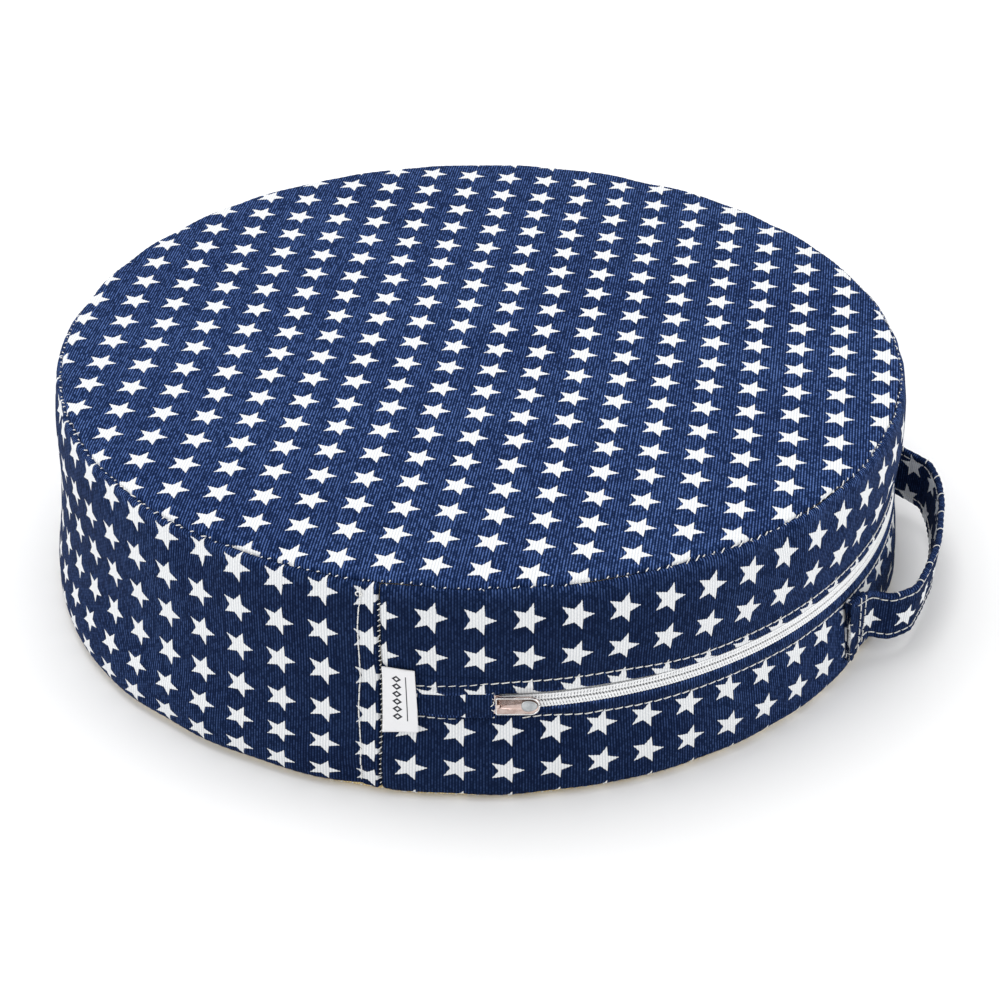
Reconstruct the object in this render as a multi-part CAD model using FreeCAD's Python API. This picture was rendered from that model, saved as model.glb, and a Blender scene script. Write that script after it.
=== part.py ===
"""Round box cushion for the floor: a foam disc in a printed cloth cover, with a zip let into the side
band, a folded label in the band's join and a carrying strap sewn over the zip's lower edge.

Frame: millimetres, +Z up, origin at the middle of the underside, where the cushion meets the floor.
Angles are measured about +Z from +X. Depths are measured square to the band's outer face and inward,
so a negative depth stands proud of it.
"""

import FreeCAD, Part
import math
import os

V = FreeCAD.Vector

# ---- overall sizes -------------------------------------------------------------------------------
seat_radius = 190.0        # outside of the cover at the top edge
base_radius = 196.7        # outside of the cover at the floor
height = 103.5
edge_round = 7.0           # rounding of the top and bottom edges

# ---- cloth, foam and thread ----------------------------------------------------------------------
cloth = 1.2                # one layer of cover cloth
hem = 1.8                  # the folded edge beside the zip
fit_gap = 0.2              # between soft pieces that lie on each other
seam_drop = 2.6            # the top and bottom seams lie this far from the flat faces
thread = 0.5               # thickness of the sewing thread

# ---- where the band is joined --------------------------------------------------------------------
join_angle = -102.0        # the join beside the label
zip_span = 180.0           # the zip panel goes half way round
topstitch_offset = 8.5     # the upright row of stitches, from the join

# ---- the zip -------------------------------------------------------------------------------------
zip_height = 47.15         # middle of the zip above the floor
zip_opening = 7.7          # between the two folded edges
hem_width = 10.0
topstitch_from_edge = 4.4  # each row of stitches, from its folded edge
tape_thickness = 0.6
tape_width = 12.0
coil_thickness = 1.8
coil_clearance = 0.3       # between a coil and the folded edge
coil_gap = 1.0             # between the two coils, where the slider's neck runs
slide_clearance = 0.3      # round everything that moves

# ---- the slider and its pull tab -----------------------------------------------------------------
slider_angle = -90.0       # where the slider parks when the zip is shut
slider_back = 4.5          # the slider's body, along the zip on each side of that angle
slider_front = 9.5
slider_width = 9.0
plate = 1.0                # thickness of the slider's outer plate
plate_corner = 1.8
back_plate = 0.8
neck_length = 3.0
neck_inset = 0.5           # from the slider's back end
bridge_bar = 0.8           # thickness of the bridge that holds the pull tab
bridge_width = 2.0
bridge_space = 1.6         # room for the tab's cross bar under the bridge
bridge_inset_back = 1.5    # from the ends of the outer plate
bridge_inset_front = 0.3
casting_lap = 0.2          # the casting's parts run this far into each other
pivot_place = 6.6          # the cross bar, along the zip
pull_reach = 17.6          # from the cross bar to the tab's tip
pull_width = 8.4
pull_thickness = 1.0
pull_window = 5.5
pull_window_width = 3.2
cross_bar = 1.0
tip_flat = 0.1             # left between the two rounded corners of the tip

# ---- the cloth cover over the slider's parking place ---------------------------------------------
cover_back = 24.5          # from the parking angle back towards the label
cover_front = 4.6
cover_wall = 0.8
cover_roof = 1.0

# ---- the label -----------------------------------------------------------------------------------
label_width = 14.5
label_height = 32.0
label_bottom = 31.0
label_thickness = 0.6
label_stand = 0.65         # clears the rows of stitches that it lies over

# ---- the carrying strap --------------------------------------------------------------------------
handle_angle = -12.0       # the middle of the strap
handle_half_span = 19.0    # from there to where the strap leaves the band
handle_bottom = 4.0
handle_width = 31.0
loop_lift = 5.0            # the loop is gathered: its lower edge lies this far above the sewn ends'
strap_thickness = 2.4
sewn_end_span = 4.4        # degrees of band that each sewn end covers
sewn_end_thickness = 4.4   # the strap's end is folded under
loop_reach = 29.5          # from the chord between the roots to the middle of the loop
edge_row = 4.0             # the strap's own rows of stitches, from its edges
edge_thread = 0.3          # how far that thread stands out from the strap
edge_thread_gap = 0.05
end_gap = 0.6              # between the loop and each sewn end
stitch_inset = 1.5         # from the end of an upright row of stitches to the edge of its cloth

band_lean = math.atan((base_radius - seat_radius) / height)


def wall(z, depth=0.0):
    """Radius of the band at a height, or of a face drawn in from it: it leans in towards the top."""
    return base_radius + (seat_radius - base_radius) * z / height - depth / math.cos(band_lean)


def square_to_band(depth, z):
    """The point at a depth behind the band's outer face, measured square to it from a height on it."""
    return V(wall(z) - depth * math.cos(band_lean), 0, z - depth * math.sin(band_lean))


def degrees_along(length, z=zip_height):
    """The angle that a length along the band covers."""
    return math.degrees(length / wall(z))


def turned(shape, angle):
    """The shape turned about the cushion's axis."""
    shape.rotate(V(0, 0, 0), V(0, 0, 1), angle)
    return shape


def ring_piece(outline, start, end):
    """A piece that follows the band from one angle to another; its outline is (depth, height) pairs."""
    corners = [square_to_band(depth, z) for depth, z in outline]
    face = Part.Face(Part.makePolygon(corners + corners[:1]))
    return turned(face.revolve(V(0, 0, 0), V(0, 0, 1), end - start), start)


def ring_box(depth_out, depth_in, low, high, start, end):
    """A ring piece with a plain four-cornered outline."""
    return ring_piece([(depth_out, low), (depth_in, low), (depth_in, high), (depth_out, high)], start, end)


def puck(inset):
    """The cushion's round form, drawn in from the outside by an inset, with rounded edges."""
    low, high = inset, height - inset
    cone = Part.makeCone(wall(low, inset), wall(high, inset), high - low, V(0, 0, low))
    rims = [edge for edge in cone.Edges if edge.Closed and edge.BoundBox.ZLength < 0.01]
    return cone.makeFillet(edge_round - inset, rims)


def slab(low, high):
    """Everything between two heights, for cutting the cover into its panels."""
    size = 3 * max(base_radius, seat_radius)
    return Part.makeBox(size, size, high - low, V(-size / 2, -size / 2, low))


def save(name, *solids):
    """Write one piece, or a group of like pieces, as a STEP file."""
    shape = solids[0] if len(solids) == 1 else Part.makeCompound(list(solids))
    shape.exportStep(f"parts/{name}.step")


# ---- places that several pieces share ------------------------------------------------------------
far_join = join_angle + zip_span
join_half = degrees_along(thread / 2)
zip_start = join_angle + join_half
zip_end = far_join - join_half
lower_edge = zip_height - zip_opening / 2
upper_edge = zip_height + zip_opening / 2
tape_depth = hem + fit_gap / 2
tape_back = tape_depth + tape_thickness
slider_half = slider_width / 2
plate_bottom = -slide_clearance
plate_top = plate_bottom - plate
bridge_inner = plate_top - bridge_space
bridge_top = bridge_inner - bridge_bar
back_plate_depth = tape_back + slide_clearance
pivot_depth = (plate_top + bridge_inner) / 2
band_low = seam_drop + thread / 2
band_high = height - seam_drop - thread / 2

cover_shell = puck(0).cut(puck(cloth))


# ---- the foam ------------------------------------------------------------------------------------
def foam_core():
    """A solid foam disc, with a shallow groove where the zip's tapes and slider lie against it."""
    foam = puck(cloth + fit_gap)
    tape_reach = tape_width + coil_gap / 2 + fit_gap
    groove = ring_box(
        0, tape_back + fit_gap, zip_height - tape_reach - hem_width / 2,
        zip_height + tape_reach + hem_width / 2, join_angle, far_join,
    )
    slot_half = slider_half + slide_clearance
    slot = ring_box(
        0, back_plate_depth + back_plate + slide_clearance, zip_height - slot_half,
        zip_height + slot_half, join_angle, far_join,
    )
    return foam.cut(groove).cut(slot)


# ---- the cover's panels --------------------------------------------------------------------------
def top_panel():
    """The seat: a round of cloth turned down over the edge to the top seam."""
    return cover_shell.common(slab(height - seam_drop + thread / 2, height + 1))


def bottom_panel():
    """The round of cloth that lies on the floor."""
    return cover_shell.common(slab(-1, seam_drop - thread / 2))


def band_segment(low, high, start, end):
    """A length of side band between two heights, cut from the cover's shell."""
    reach = 1.1 * max(base_radius, seat_radius)
    block = Part.makeCylinder(reach, high - low, V(0, 0, low), V(0, 0, 1), end - start)
    return cover_shell.common(turned(block, start))


def side_band():
    """The plain length of side band, round the half that has no zip."""
    return band_segment(band_low, band_high, far_join + join_half, join_angle + 360 - join_half)


def folded_strip(low, high, fold_low, fold_high):
    """A strip of band beside the zip, with its long edge folded back on itself."""
    opening = ring_box(-hem, 2 * hem, lower_edge, upper_edge, join_angle, far_join)
    strip = band_segment(low, high, zip_start, zip_end).cut(opening)
    fold = ring_box(0, hem, fold_low, fold_high, zip_start, zip_end)
    return strip.fuse(fold).removeSplitter()


def zip_band_upper():
    """The strip above the zip."""
    return folded_strip(zip_height, band_high, upper_edge, upper_edge + hem_width)


def zip_band_lower():
    """The strip below the zip, which also carries the strap."""
    return folded_strip(band_low, zip_height, lower_edge - hem_width, lower_edge)


# ---- the zip's fixed pieces ----------------------------------------------------------------------
def zipper_tape(side):
    """A woven tape behind a folded edge; side is 1 above the zip and -1 below it."""
    near = zip_height + side * coil_gap / 2
    far = near + side * tape_width
    low, high = sorted((near, far))
    return ring_box(tape_depth, tape_back, low, high, zip_start, zip_end)


def zipper_coil(side):
    """One row of nylon coil, standing on its tape and filling the opening as far as the other row."""
    near = zip_height + side * coil_gap / 2
    far = zip_height + side * (zip_opening / 2 - coil_clearance)
    low, high = sorted((near, far))
    coil_back = tape_depth - fit_gap / 2
    return ring_box(coil_back - coil_thickness, coil_back, low, high, zip_start, zip_end)


def zipper_cover():
    """The cloth pocket that hides the parked slider: closed beside the label, open towards the zip."""
    inner_half = slider_half + slide_clearance
    outer_half = inner_half + cover_wall
    inner_top = bridge_top - slide_clearance
    start = slider_angle - degrees_along(cover_back)
    end = slider_angle + degrees_along(cover_front)
    outer = ring_box(
        inner_top - cover_roof, -fit_gap / 2, zip_height - outer_half, zip_height + outer_half, start, end
    )
    inner = ring_box(
        inner_top, 1, zip_height - inner_half, zip_height + inner_half,
        start + degrees_along(cover_wall), end + 1,
    )
    return outer.cut(inner)


# ---- the slider and its pull tab -----------------------------------------------------------------
def zip_block(along_low, along_high, depth_out, depth_in, half_width):
    """A straight block at the slider's place: x along the zip, y out of the band."""
    size = V(along_high - along_low, depth_in - depth_out, 2 * half_width)
    corner = V(along_low, wall(zip_height) - depth_in, -half_width)
    return Part.makeBox(size.x, size.y, size.z, corner)


def at_slider(shape):
    """Lean a straight shape back with the band and carry it round to the slider's parking place."""
    placed = shape.mirror(V(0, 0, 0), V(1, 0, 0))
    placed.rotate(V(0, wall(zip_height), 0), V(1, 0, 0), math.degrees(band_lean))
    placed.rotate(V(0, 0, 0), V(0, 0, 1), slider_angle - 90)
    placed.translate(V(0, 0, zip_height))
    return placed


def zipper_slider():
    """A cast slider: outer and back plates joined by the neck between the coils, and the bridge."""
    outer = zip_block(-slider_back, slider_front, plate_top, plate_bottom, slider_half)
    uprights = [edge for edge in outer.Edges if edge.BoundBox.YLength > 0.99 * plate]
    uprights = [edge for edge in uprights if edge.BoundBox.XLength < 0.01 > edge.BoundBox.ZLength]
    outer = outer.makeFillet(plate_corner, uprights)
    back = zip_block(
        -slider_back, slider_front, back_plate_depth, back_plate_depth + back_plate, slider_half
    )
    neck_half = coil_gap / 2 - slide_clearance
    neck_start = -slider_back + neck_inset
    neck = zip_block(
        neck_start, neck_start + neck_length, plate_bottom - casting_lap,
        back_plate_depth + casting_lap, neck_half,
    )
    bar_start = -slider_back + bridge_inset_back
    bar_end = slider_front - bridge_inset_front
    half = bridge_width / 2
    bar = zip_block(bar_start, bar_end, bridge_top, bridge_inner, half)
    legs = [
        zip_block(end, end + bridge_bar, bridge_top, plate_top + casting_lap, half)
        for end in (bar_start, bar_end - bridge_bar)
    ]
    body = outer.fuse([back, neck, bar] + legs).removeSplitter()
    return at_slider(body)


def zipper_pull():
    """A flat stamped tab with a rounded tip, a window for the bridge and a cross bar that turns in it."""
    half = pull_width / 2
    top = pivot_depth - pull_thickness / 2
    under = pivot_depth + pull_thickness / 2
    tip = pivot_place + pull_reach
    flat = zip_block(pivot_place, tip, top, under, half)
    corners = [
        edge for edge in flat.Edges
        if edge.BoundBox.YLength > 0.99 * pull_thickness and edge.BoundBox.XMin > tip - 0.1
    ]
    flat = flat.makeFillet(half - tip_flat / 2, corners)
    window = zip_block(
        pivot_place - 1, pivot_place + pull_window, top - 1, under + 1, pull_window_width / 2
    )
    axle = Part.makeCylinder(
        cross_bar / 2, pull_width, V(pivot_place, wall(zip_height) - pivot_depth, -half), V(0, 0, 1)
    )
    return at_slider(flat.cut(window).fuse(axle).removeSplitter())


# ---- the label -----------------------------------------------------------------------------------
def label():
    """A woven tag folded double and caught in the join; it lies flat over the band beside the zip."""
    start = join_angle + 2 * join_half
    end = start + degrees_along(label_width)
    outside = -label_stand - label_thickness
    return ring_box(outside, -label_stand, label_bottom, label_bottom + label_height, start, end)


# ---- the strap -----------------------------------------------------------------------------------
strap_top = handle_bottom + handle_width
strap_seat = max(wall(handle_bottom), wall(strap_top)) + fit_gap  # its inner face, where it leaves the band
half_span = math.radians(handle_half_span)
root_across = strap_seat * math.sin(half_span)
root_out = strap_seat * math.cos(half_span) + strap_thickness / 2
loop_out = root_out + loop_reach


def strap_line():
    """The loop's line seen from above, from one root to the other: out = along x, across = along y."""
    half = [
        (root_out, root_across),
        (root_out + 0.10 * loop_reach, 0.975 * root_across),
        (root_out + 0.42 * loop_reach, 0.920 * root_across),
        (root_out + 0.72 * loop_reach, 0.800 * root_across),
        (root_out + 0.89 * loop_reach, 0.560 * root_across),
        (root_out + 0.98 * loop_reach, 0.280 * root_across),
    ]
    points = [V(out, -across, 0) for out, across in half]
    points.append(V(loop_out, 0, 0))
    points += [V(out, across, 0) for out, across in reversed(half)]
    line = Part.BSplineCurve()
    line.interpolate(points)
    return line


def along_strap(inside, outside, low, high, steps=36):
    """A band that follows the strap's line between two distances from it and two heights."""
    line = strap_line()
    first, last = line.FirstParameter, line.LastParameter
    sides = []
    for distance in (outside, inside):
        points = []
        for step in range(steps + 1):
            place = first + (last - first) * step / steps
            tangent = line.tangent(place)[0]
            points.append(line.value(place) + V(tangent.y, -tangent.x, 0) * distance)
        side = Part.BSplineCurve()
        side.interpolate(points)
        sides.append(side)
    outer, inner = sides
    ends = [
        Part.LineSegment(outer.StartPoint, inner.StartPoint),
        Part.LineSegment(outer.EndPoint, inner.EndPoint),
    ]
    edges = [outer.toShape(), ends[1].toShape(), inner.toShape(), ends[0].toShape()]
    face = Part.Face(Part.Wire(Part.__sortEdges__(edges)))
    solid = face.extrude(V(0, 0, high - low))
    solid.translate(V(0, 0, low))
    return turned(solid, handle_angle)


def handle_strap():
    """The loop of doubled cloth between the two sewn ends."""
    return along_strap(-strap_thickness / 2, strap_thickness / 2, handle_bottom + loop_lift, strap_top)


def handle_edge_threads():
    """The rows of stitches along both edges of the loop, on its outer and inner faces."""
    rows = []
    for middle in (handle_bottom + loop_lift + edge_row, strap_top - edge_row):
        face = strap_thickness / 2 + edge_thread_gap
        for near in (face, -face - edge_thread):
            rows.append(along_strap(near, near + edge_thread, middle - thread / 2, middle + thread / 2))
    return rows


def sewn_end_angles(side):
    """The stretch of band that a sewn end covers; side is -1 next to the label's half, 1 beyond."""
    root = handle_angle + side * (handle_half_span + degrees_along(end_gap))
    return sorted((root, root + side * sewn_end_span))


def handle_end(side):
    """A folded strap end, sewn flat to the lower strip."""
    start, end = sewn_end_angles(side)
    return ring_box(-fit_gap - sewn_end_thickness, -fit_gap, handle_bottom, strap_top, start, end)


# ---- threads -------------------------------------------------------------------------------------
def upright_thread(angle, depth, low, high):
    """A straight row of stitches up the band."""
    foot = square_to_band(depth, low)
    head = square_to_band(depth, high)
    row = Part.makeCylinder(thread / 2, foot.distanceToPoint(head), foot, head - foot)
    return turned(row, angle)


def level_thread(z, depth, start, end):
    """A row of stitches that follows the band at one height."""
    circle = Part.makeCircle(thread / 2, square_to_band(depth, z), V(0, 1, 0))
    face = Part.Face(Part.Wire(circle))
    return turned(face.revolve(V(0, 0, 0), V(0, 0, 1), end - start), start)


def edge_seam_thread(side):
    """The thread of a round seam, between its two panels on the rounded edge; side is 1 at the top."""
    inward = edge_round * (1 - side * math.sin(band_lean)) / math.cos(band_lean)
    corner = (seat_radius if side > 0 else base_radius) - inward
    arc = math.sqrt((edge_round - cloth / 2) ** 2 - (edge_round - seam_drop) ** 2)
    z = height - seam_drop if side > 0 else seam_drop
    return Part.makeTorus(corner + arc, thread / 2, V(0, 0, z))


def handle_end_threads():
    """Two upright rows of stitches through each sewn end of the strap."""
    rows = []
    depth = -fit_gap - sewn_end_thickness - thread / 2
    for side in (-1, 1):
        start, end = sewn_end_angles(side)
        for share in (0.35, 0.8):
            angle = start + share * (end - start) if side < 0 else end - share * (end - start)
            rows.append(upright_thread(angle, depth, handle_bottom + stitch_inset, strap_top - stitch_inset))
    return rows


os.makedirs("parts", exist_ok=True)

save("foam_core", foam_core())
save("top_panel", top_panel())
save("bottom_panel", bottom_panel())
save("side_band", side_band())
save("zip_band_upper", zip_band_upper())
save("zip_band_lower", zip_band_lower())
save("zipper_tape_upper", zipper_tape(1))
save("zipper_tape_lower", zipper_tape(-1))
save("zipper_coil_upper", zipper_coil(1))
save("zipper_coil_lower", zipper_coil(-1))
save("zipper_cover", zipper_cover())
save("zipper_slider", zipper_slider())
save("zipper_pull", zipper_pull())
save("label", label())
save("handle_strap", handle_strap())
save("handle_edge_threads", *handle_edge_threads())
save("handle_end_near", handle_end(-1))
save("handle_end_far", handle_end(1))
save("handle_end_threads", *handle_end_threads())
save("top_seam_thread", edge_seam_thread(1))
save("bottom_seam_thread", edge_seam_thread(-1))
save("band_join_threads", *[
    upright_thread(angle, cloth / 2, band_low + stitch_inset, band_high - stitch_inset)
    for angle in (join_angle, far_join)
])
save("band_topstitches", *[
    upright_thread(angle, -thread / 2, edge_round, height - edge_round)
    for angle in (join_angle - degrees_along(topstitch_offset), far_join + degrees_along(topstitch_offset))
])
save("zip_topstitch_upper", level_thread(upper_edge + topstitch_from_edge, -thread / 2, zip_start, zip_end))
save("zip_topstitch_lower", level_thread(lower_edge - topstitch_from_edge, -thread / 2, zip_start, zip_end))
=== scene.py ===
"""A round floor cushion: foam disc, star-printed cover, zip with its pull, label and carrying strap."""

import math

import bmesh
import bpy
import numpy as np
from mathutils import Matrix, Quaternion, Vector


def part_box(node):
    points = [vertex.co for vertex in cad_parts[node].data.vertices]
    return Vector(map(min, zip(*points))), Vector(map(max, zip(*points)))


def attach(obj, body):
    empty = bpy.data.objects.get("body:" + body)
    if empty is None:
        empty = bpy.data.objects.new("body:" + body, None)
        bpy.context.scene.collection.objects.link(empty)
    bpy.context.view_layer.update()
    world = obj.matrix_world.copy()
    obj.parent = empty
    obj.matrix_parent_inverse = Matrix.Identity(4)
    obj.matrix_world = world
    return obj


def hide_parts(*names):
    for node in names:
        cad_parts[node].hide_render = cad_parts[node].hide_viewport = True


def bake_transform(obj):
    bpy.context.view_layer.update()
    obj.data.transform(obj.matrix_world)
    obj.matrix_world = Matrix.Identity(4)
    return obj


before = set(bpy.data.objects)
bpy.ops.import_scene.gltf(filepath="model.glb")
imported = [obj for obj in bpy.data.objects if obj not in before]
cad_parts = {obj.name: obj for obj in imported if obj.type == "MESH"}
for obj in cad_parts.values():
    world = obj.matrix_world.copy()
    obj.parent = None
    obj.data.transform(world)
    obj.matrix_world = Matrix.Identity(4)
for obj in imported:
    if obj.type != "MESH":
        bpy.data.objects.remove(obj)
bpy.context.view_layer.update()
scene = bpy.context.scene
scene.view_settings.view_transform = "Standard"


# ---- camera --------------------------------------------------------------------------------------
# The cushion is seen from above its front, where the zip is shut, through a long lens, so that the
# round seat stays nearly true.
camera_distance = 1.1832
camera_rise = math.radians(34.057)
camera_roll = math.radians(0.239)
look_at = Vector((0.0095, 0.0, 0.0184))

camera_data = bpy.data.cameras.new("camera")
camera_data.lens = 88.35
camera_data.sensor_width = 36.0
camera = bpy.data.objects.new("camera", camera_data)
scene.collection.objects.link(camera)
camera.location = camera_distance * Vector((0, -math.cos(camera_rise), math.sin(camera_rise)))
aim = (look_at - camera.location).to_track_quat("-Z", "Y")
camera.rotation_euler = (aim @ Quaternion((0, 0, 1), camera_roll)).to_euler()
scene.camera = camera


# ---- cover shape ---------------------------------------------------------------------------------
# The cover is cut as two rounds and a band, and pulled tight over the foam. Every cloth piece below
# lies on one outline, turned about the cushion's axis, with the slight swell of the stuffed cover.
mm = 0.001
top_corner = 3.6 * mm        # rounding above and below the top seam
base_corner = 4.6 * mm
top_seam_turn = math.radians(42)   # where the seams sit on those roundings, up from level
base_seam_turn = math.radians(-41)
seam_radius = 190 * mm       # arc lengths round the cushion are measured here


def thread_row(node):
    """Radius of the cloth under a level row of stitches, and the row's height."""
    low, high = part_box(node)
    return high.x - (high.z - low.z), (high.z + low.z) / 2


upper_row_radius, upper_row_z = thread_row("zip_topstitch_upper")
lower_row_radius, lower_row_z = thread_row("zip_topstitch_lower")
seat_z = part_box("top_panel")[1].z
floor_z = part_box("bottom_panel")[0].z
lean_slope = (lower_row_radius - upper_row_radius) / (upper_row_z - lower_row_z)
lean = math.atan(lean_slope)


def wall_radius(z):
    """Radius of the band's outer face at a height."""
    return lower_row_radius - lean_slope * (z - lower_row_z)


def outline():
    """The cover's outline from the middle of the seat, over the edge and down to the middle of the base."""
    top_centre = wall_radius(seat_z) - top_corner * (1 - math.sin(lean)) / math.cos(lean)
    base_centre = wall_radius(floor_z) - base_corner * (1 + math.sin(lean)) / math.cos(lean)
    over = np.linspace(math.pi / 2, lean, 60)
    under = np.linspace(lean, -math.pi / 2, 60)
    seat = [(r, seat_z) for r in np.linspace(0, top_centre, 200)]
    top = [(top_centre + top_corner * math.cos(a), seat_z - top_corner * (1 - math.sin(a))) for a in over]
    low = [(base_centre + base_corner * math.cos(a), base_corner * (1 + math.sin(a))) for a in under]
    base = [(r, floor_z) for r in np.linspace(base_centre, 0, 200)]
    return np.array(seat + top + low + base), (top_centre, base_centre)


path, (top_centre, base_centre) = outline()
keep = np.r_[True, np.linalg.norm(np.diff(path, axis=0), axis=1) > 1e-7]
path = path[keep]
path_length = np.r_[0, np.cumsum(np.linalg.norm(np.diff(path, axis=0), axis=1))]
path_slope = np.gradient(path, path_length, axis=0)
path_out = np.stack([-path_slope[:, 1], path_slope[:, 0]], axis=1)
path_out /= np.linalg.norm(path_out, axis=1)[:, None]
top_seam_s = top_centre + top_corner * (math.pi / 2 - top_seam_turn)
band_start_s = top_centre + top_corner * (math.pi / 2 - lean)
band_start_z = seat_z - top_corner + top_corner * math.sin(lean)
band_end_z = base_corner + base_corner * math.sin(lean)
band_end_s = band_start_s + (band_start_z - band_end_z) / math.cos(lean)
base_seam_s = band_end_s + base_corner * (lean - base_seam_turn)


def s_at(z):
    """The place on the outline at a height on the band."""
    return band_start_s + (band_start_z - z) / math.cos(lean)


def smooth(x):
    """Eases from 0 to 1 as x does."""
    x = np.clip(x, 0, 1)
    return x * x * (3 - 2 * x)


def ripple(u, v, seed, waves, wavelength):
    """A smooth uneven surface: waves of random direction, about one high, never the same twice."""
    dice = np.random.default_rng(seed)
    total = np.zeros(np.broadcast(u, v).shape)
    for _ in range(waves):
        turn = dice.uniform(0, 2 * math.pi)
        size = wavelength * dice.uniform(0.7, 1.6)
        phase = dice.uniform(0, 2 * math.pi)
        total += np.sin((u * math.cos(turn) + v * math.sin(turn)) * 2 * math.pi / size + phase)
    return total / math.sqrt(waves)


def swell_field():
    """How far the stuffed cover stands off its outline, from a cloth simulation held at the seams."""
    turns = 144
    seat_rows = np.linspace(0.012, top_seam_s, 26)
    band_rows = np.linspace(top_seam_s, base_seam_s, 25)[1:]
    rows = np.r_[seat_rows, band_rows]
    angles = np.arange(turns) * 2 * math.pi / turns
    r = np.interp(rows, path_length, path[:, 0])
    z = np.interp(rows, path_length, path[:, 1])
    out_r = np.interp(rows, path_length, path_out[:, 0])
    out_z = np.interp(rows, path_length, path_out[:, 1])
    rough = 0.25 * mm * ripple(*np.meshgrid(angles * seam_radius, rows), seed=4, waves=9, wavelength=0.03).T
    cells = np.array([
        [(i * len(rows) + j), ((i + 1) % turns * len(rows) + j),
         ((i + 1) % turns * len(rows) + j + 1), (i * len(rows) + j + 1)]
        for i in range(turns) for j in range(len(rows) - 1)
    ])
    radius = r[None, :] + rough * out_r
    points = np.stack([
        radius * np.cos(angles)[:, None], radius * np.sin(angles)[:, None], z[None, :] + rough * out_z,
    ], axis=2).reshape(-1, 3)
    mesh = bpy.data.meshes.new("cover_blank")
    mesh.from_pydata(points.tolist(), [], cells[:, ::-1].tolist())
    blank = bpy.data.objects.new("cover_blank", mesh)
    scene.collection.objects.link(blank)
    held = blank.vertex_groups.new(name="seams")
    for j, s in enumerate(rows):
        near_seam = min(abs(s - top_seam_s), abs(s - base_seam_s))
        in_zip = abs(s - s_at((upper_row_z + lower_row_z) / 2)) < 0.011
        for i in range(turns):
            on_zip_side = math.cos(angles[i] + math.radians(12)) > 0
            if near_seam < 1e-6 or s < 0.02:
                held.add([i * len(rows) + j], 1.0, "REPLACE")
            elif in_zip and on_zip_side:
                held.add([i * len(rows) + j], 0.6, "REPLACE")
    cloth = blank.modifiers.new("Cloth", "CLOTH")
    cloth.settings.quality = 6
    cloth.settings.mass = 0.25
    cloth.settings.tension_stiffness = 30
    cloth.settings.compression_stiffness = 30
    cloth.settings.shear_stiffness = 15
    cloth.settings.bending_stiffness = 1.5
    cloth.settings.shrink_min = -0.012
    cloth.settings.use_pressure = True
    cloth.settings.uniform_pressure_force = 4
    cloth.settings.vertex_group_mass = "seams"
    cloth.settings.effector_weights.gravity = 0
    cloth.point_cache.frame_start = 1
    cloth.point_cache.frame_end = 20
    for step in range(1, 21):
        scene.frame_set(step)
    shaped = blank.evaluated_get(bpy.context.evaluated_depsgraph_get())
    moved = np.zeros(len(points) * 3)
    shaped.data.vertices.foreach_get("co", moved)
    shift = (moved.reshape(-1, 3) - points).reshape(turns, len(rows), 3)
    level = shift[..., 0] * np.cos(angles)[:, None] + shift[..., 1] * np.sin(angles)[:, None]
    lift = level * out_r + shift[..., 2] * out_z + rough
    bpy.data.objects.remove(blank)
    scene.frame_set(1)
    most = np.where(rows <= top_seam_s, 0.9 * mm, 1.8 * mm)
    return angles, rows, most * np.tanh(lift / most)


swell_angles, swell_rows, swell = swell_field()


def swell_at(angle, s):
    """The swell of the cover at any angle and place on its outline."""
    column = np.mod(angle, 2 * math.pi) / (2 * math.pi) * len(swell_angles)
    left = np.floor(column).astype(int) % len(swell_angles)
    share = column - np.floor(column)
    row = np.interp(s, swell_rows, np.arange(len(swell_rows)))
    under = np.minimum(np.floor(row).astype(int), len(swell_rows) - 2)
    part = row - under
    right = (left + 1) % len(swell_angles)
    near = swell[left, under] * (1 - part) + swell[left, under + 1] * part
    far = swell[right, under] * (1 - part) + swell[right, under + 1] * part
    fade = np.clip((base_seam_s + 0.004 - s) / 0.004, 0, 1)
    beside_zip = 1 - smooth((np.abs(s - s_at((upper_row_z + lower_row_z) / 2)) - 7 * mm) / (15 * mm))
    from_middle = np.abs(np.mod(angle - math.radians(-12) + math.pi, 2 * math.pi) - math.pi)
    zip_side = smooth((math.radians(96) - from_middle) / math.radians(6))
    return (near * (1 - share) + far * share) * fade * (1 - beside_zip * zip_side)


def fullness(angle, r, z):
    """The stuffing fills the cover out round the seat's edge, most of all by the strap, and at the floor."""
    side = smooth((r - 0.11) / 0.08)
    by_strap = smooth(0.5 + 0.5 * np.cos(angle - math.radians(12)))
    from_left = np.mod(angle - math.radians(215) + math.pi, 2 * math.pi) - math.pi
    behind = np.exp(-(from_left / math.radians(17)) ** 2)
    high = (1.6 + 1.1 * by_strap) * smooth((z - 0.052) / 0.036)
    low = 2.0 * (1 - by_strap ** 5) * smooth((0.036 - z) / 0.025) + 3.0 * behind * smooth((0.052 - z) / 0.048)
    return side * mm * (high + low)


def on_cover(angle, s, lift=0.0):
    """Points on the stuffed cover, lifted off it along its outward direction."""
    angle, s, lift = np.broadcast_arrays(*(np.asarray(value, float) for value in (angle, s, lift)))
    off = lift + swell_at(angle, s)
    r = np.interp(s, path_length, path[:, 0]) + off * np.interp(s, path_length, path_out[:, 0])
    z = np.interp(s, path_length, path[:, 1]) + off * np.interp(s, path_length, path_out[:, 1])
    r = r + fullness(angle, r, z)
    return np.stack([r * np.cos(angle), r * np.sin(angle), z], axis=-1)


# ---- printed cloth -------------------------------------------------------------------------------
# A stout cotton with fine upright ribs, printed navy with rows of white five-pointed stars. Each piece
# carries the place of every point on the flat bolt of cloth, so the print and the ribs follow the cut, and
# how brightly that point is painted lit.
star_spacing = 19.5
star_tip = 7.3
star_notch = 3.25
rib_spacing = 1.22
stitch_run = 1.75


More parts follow.
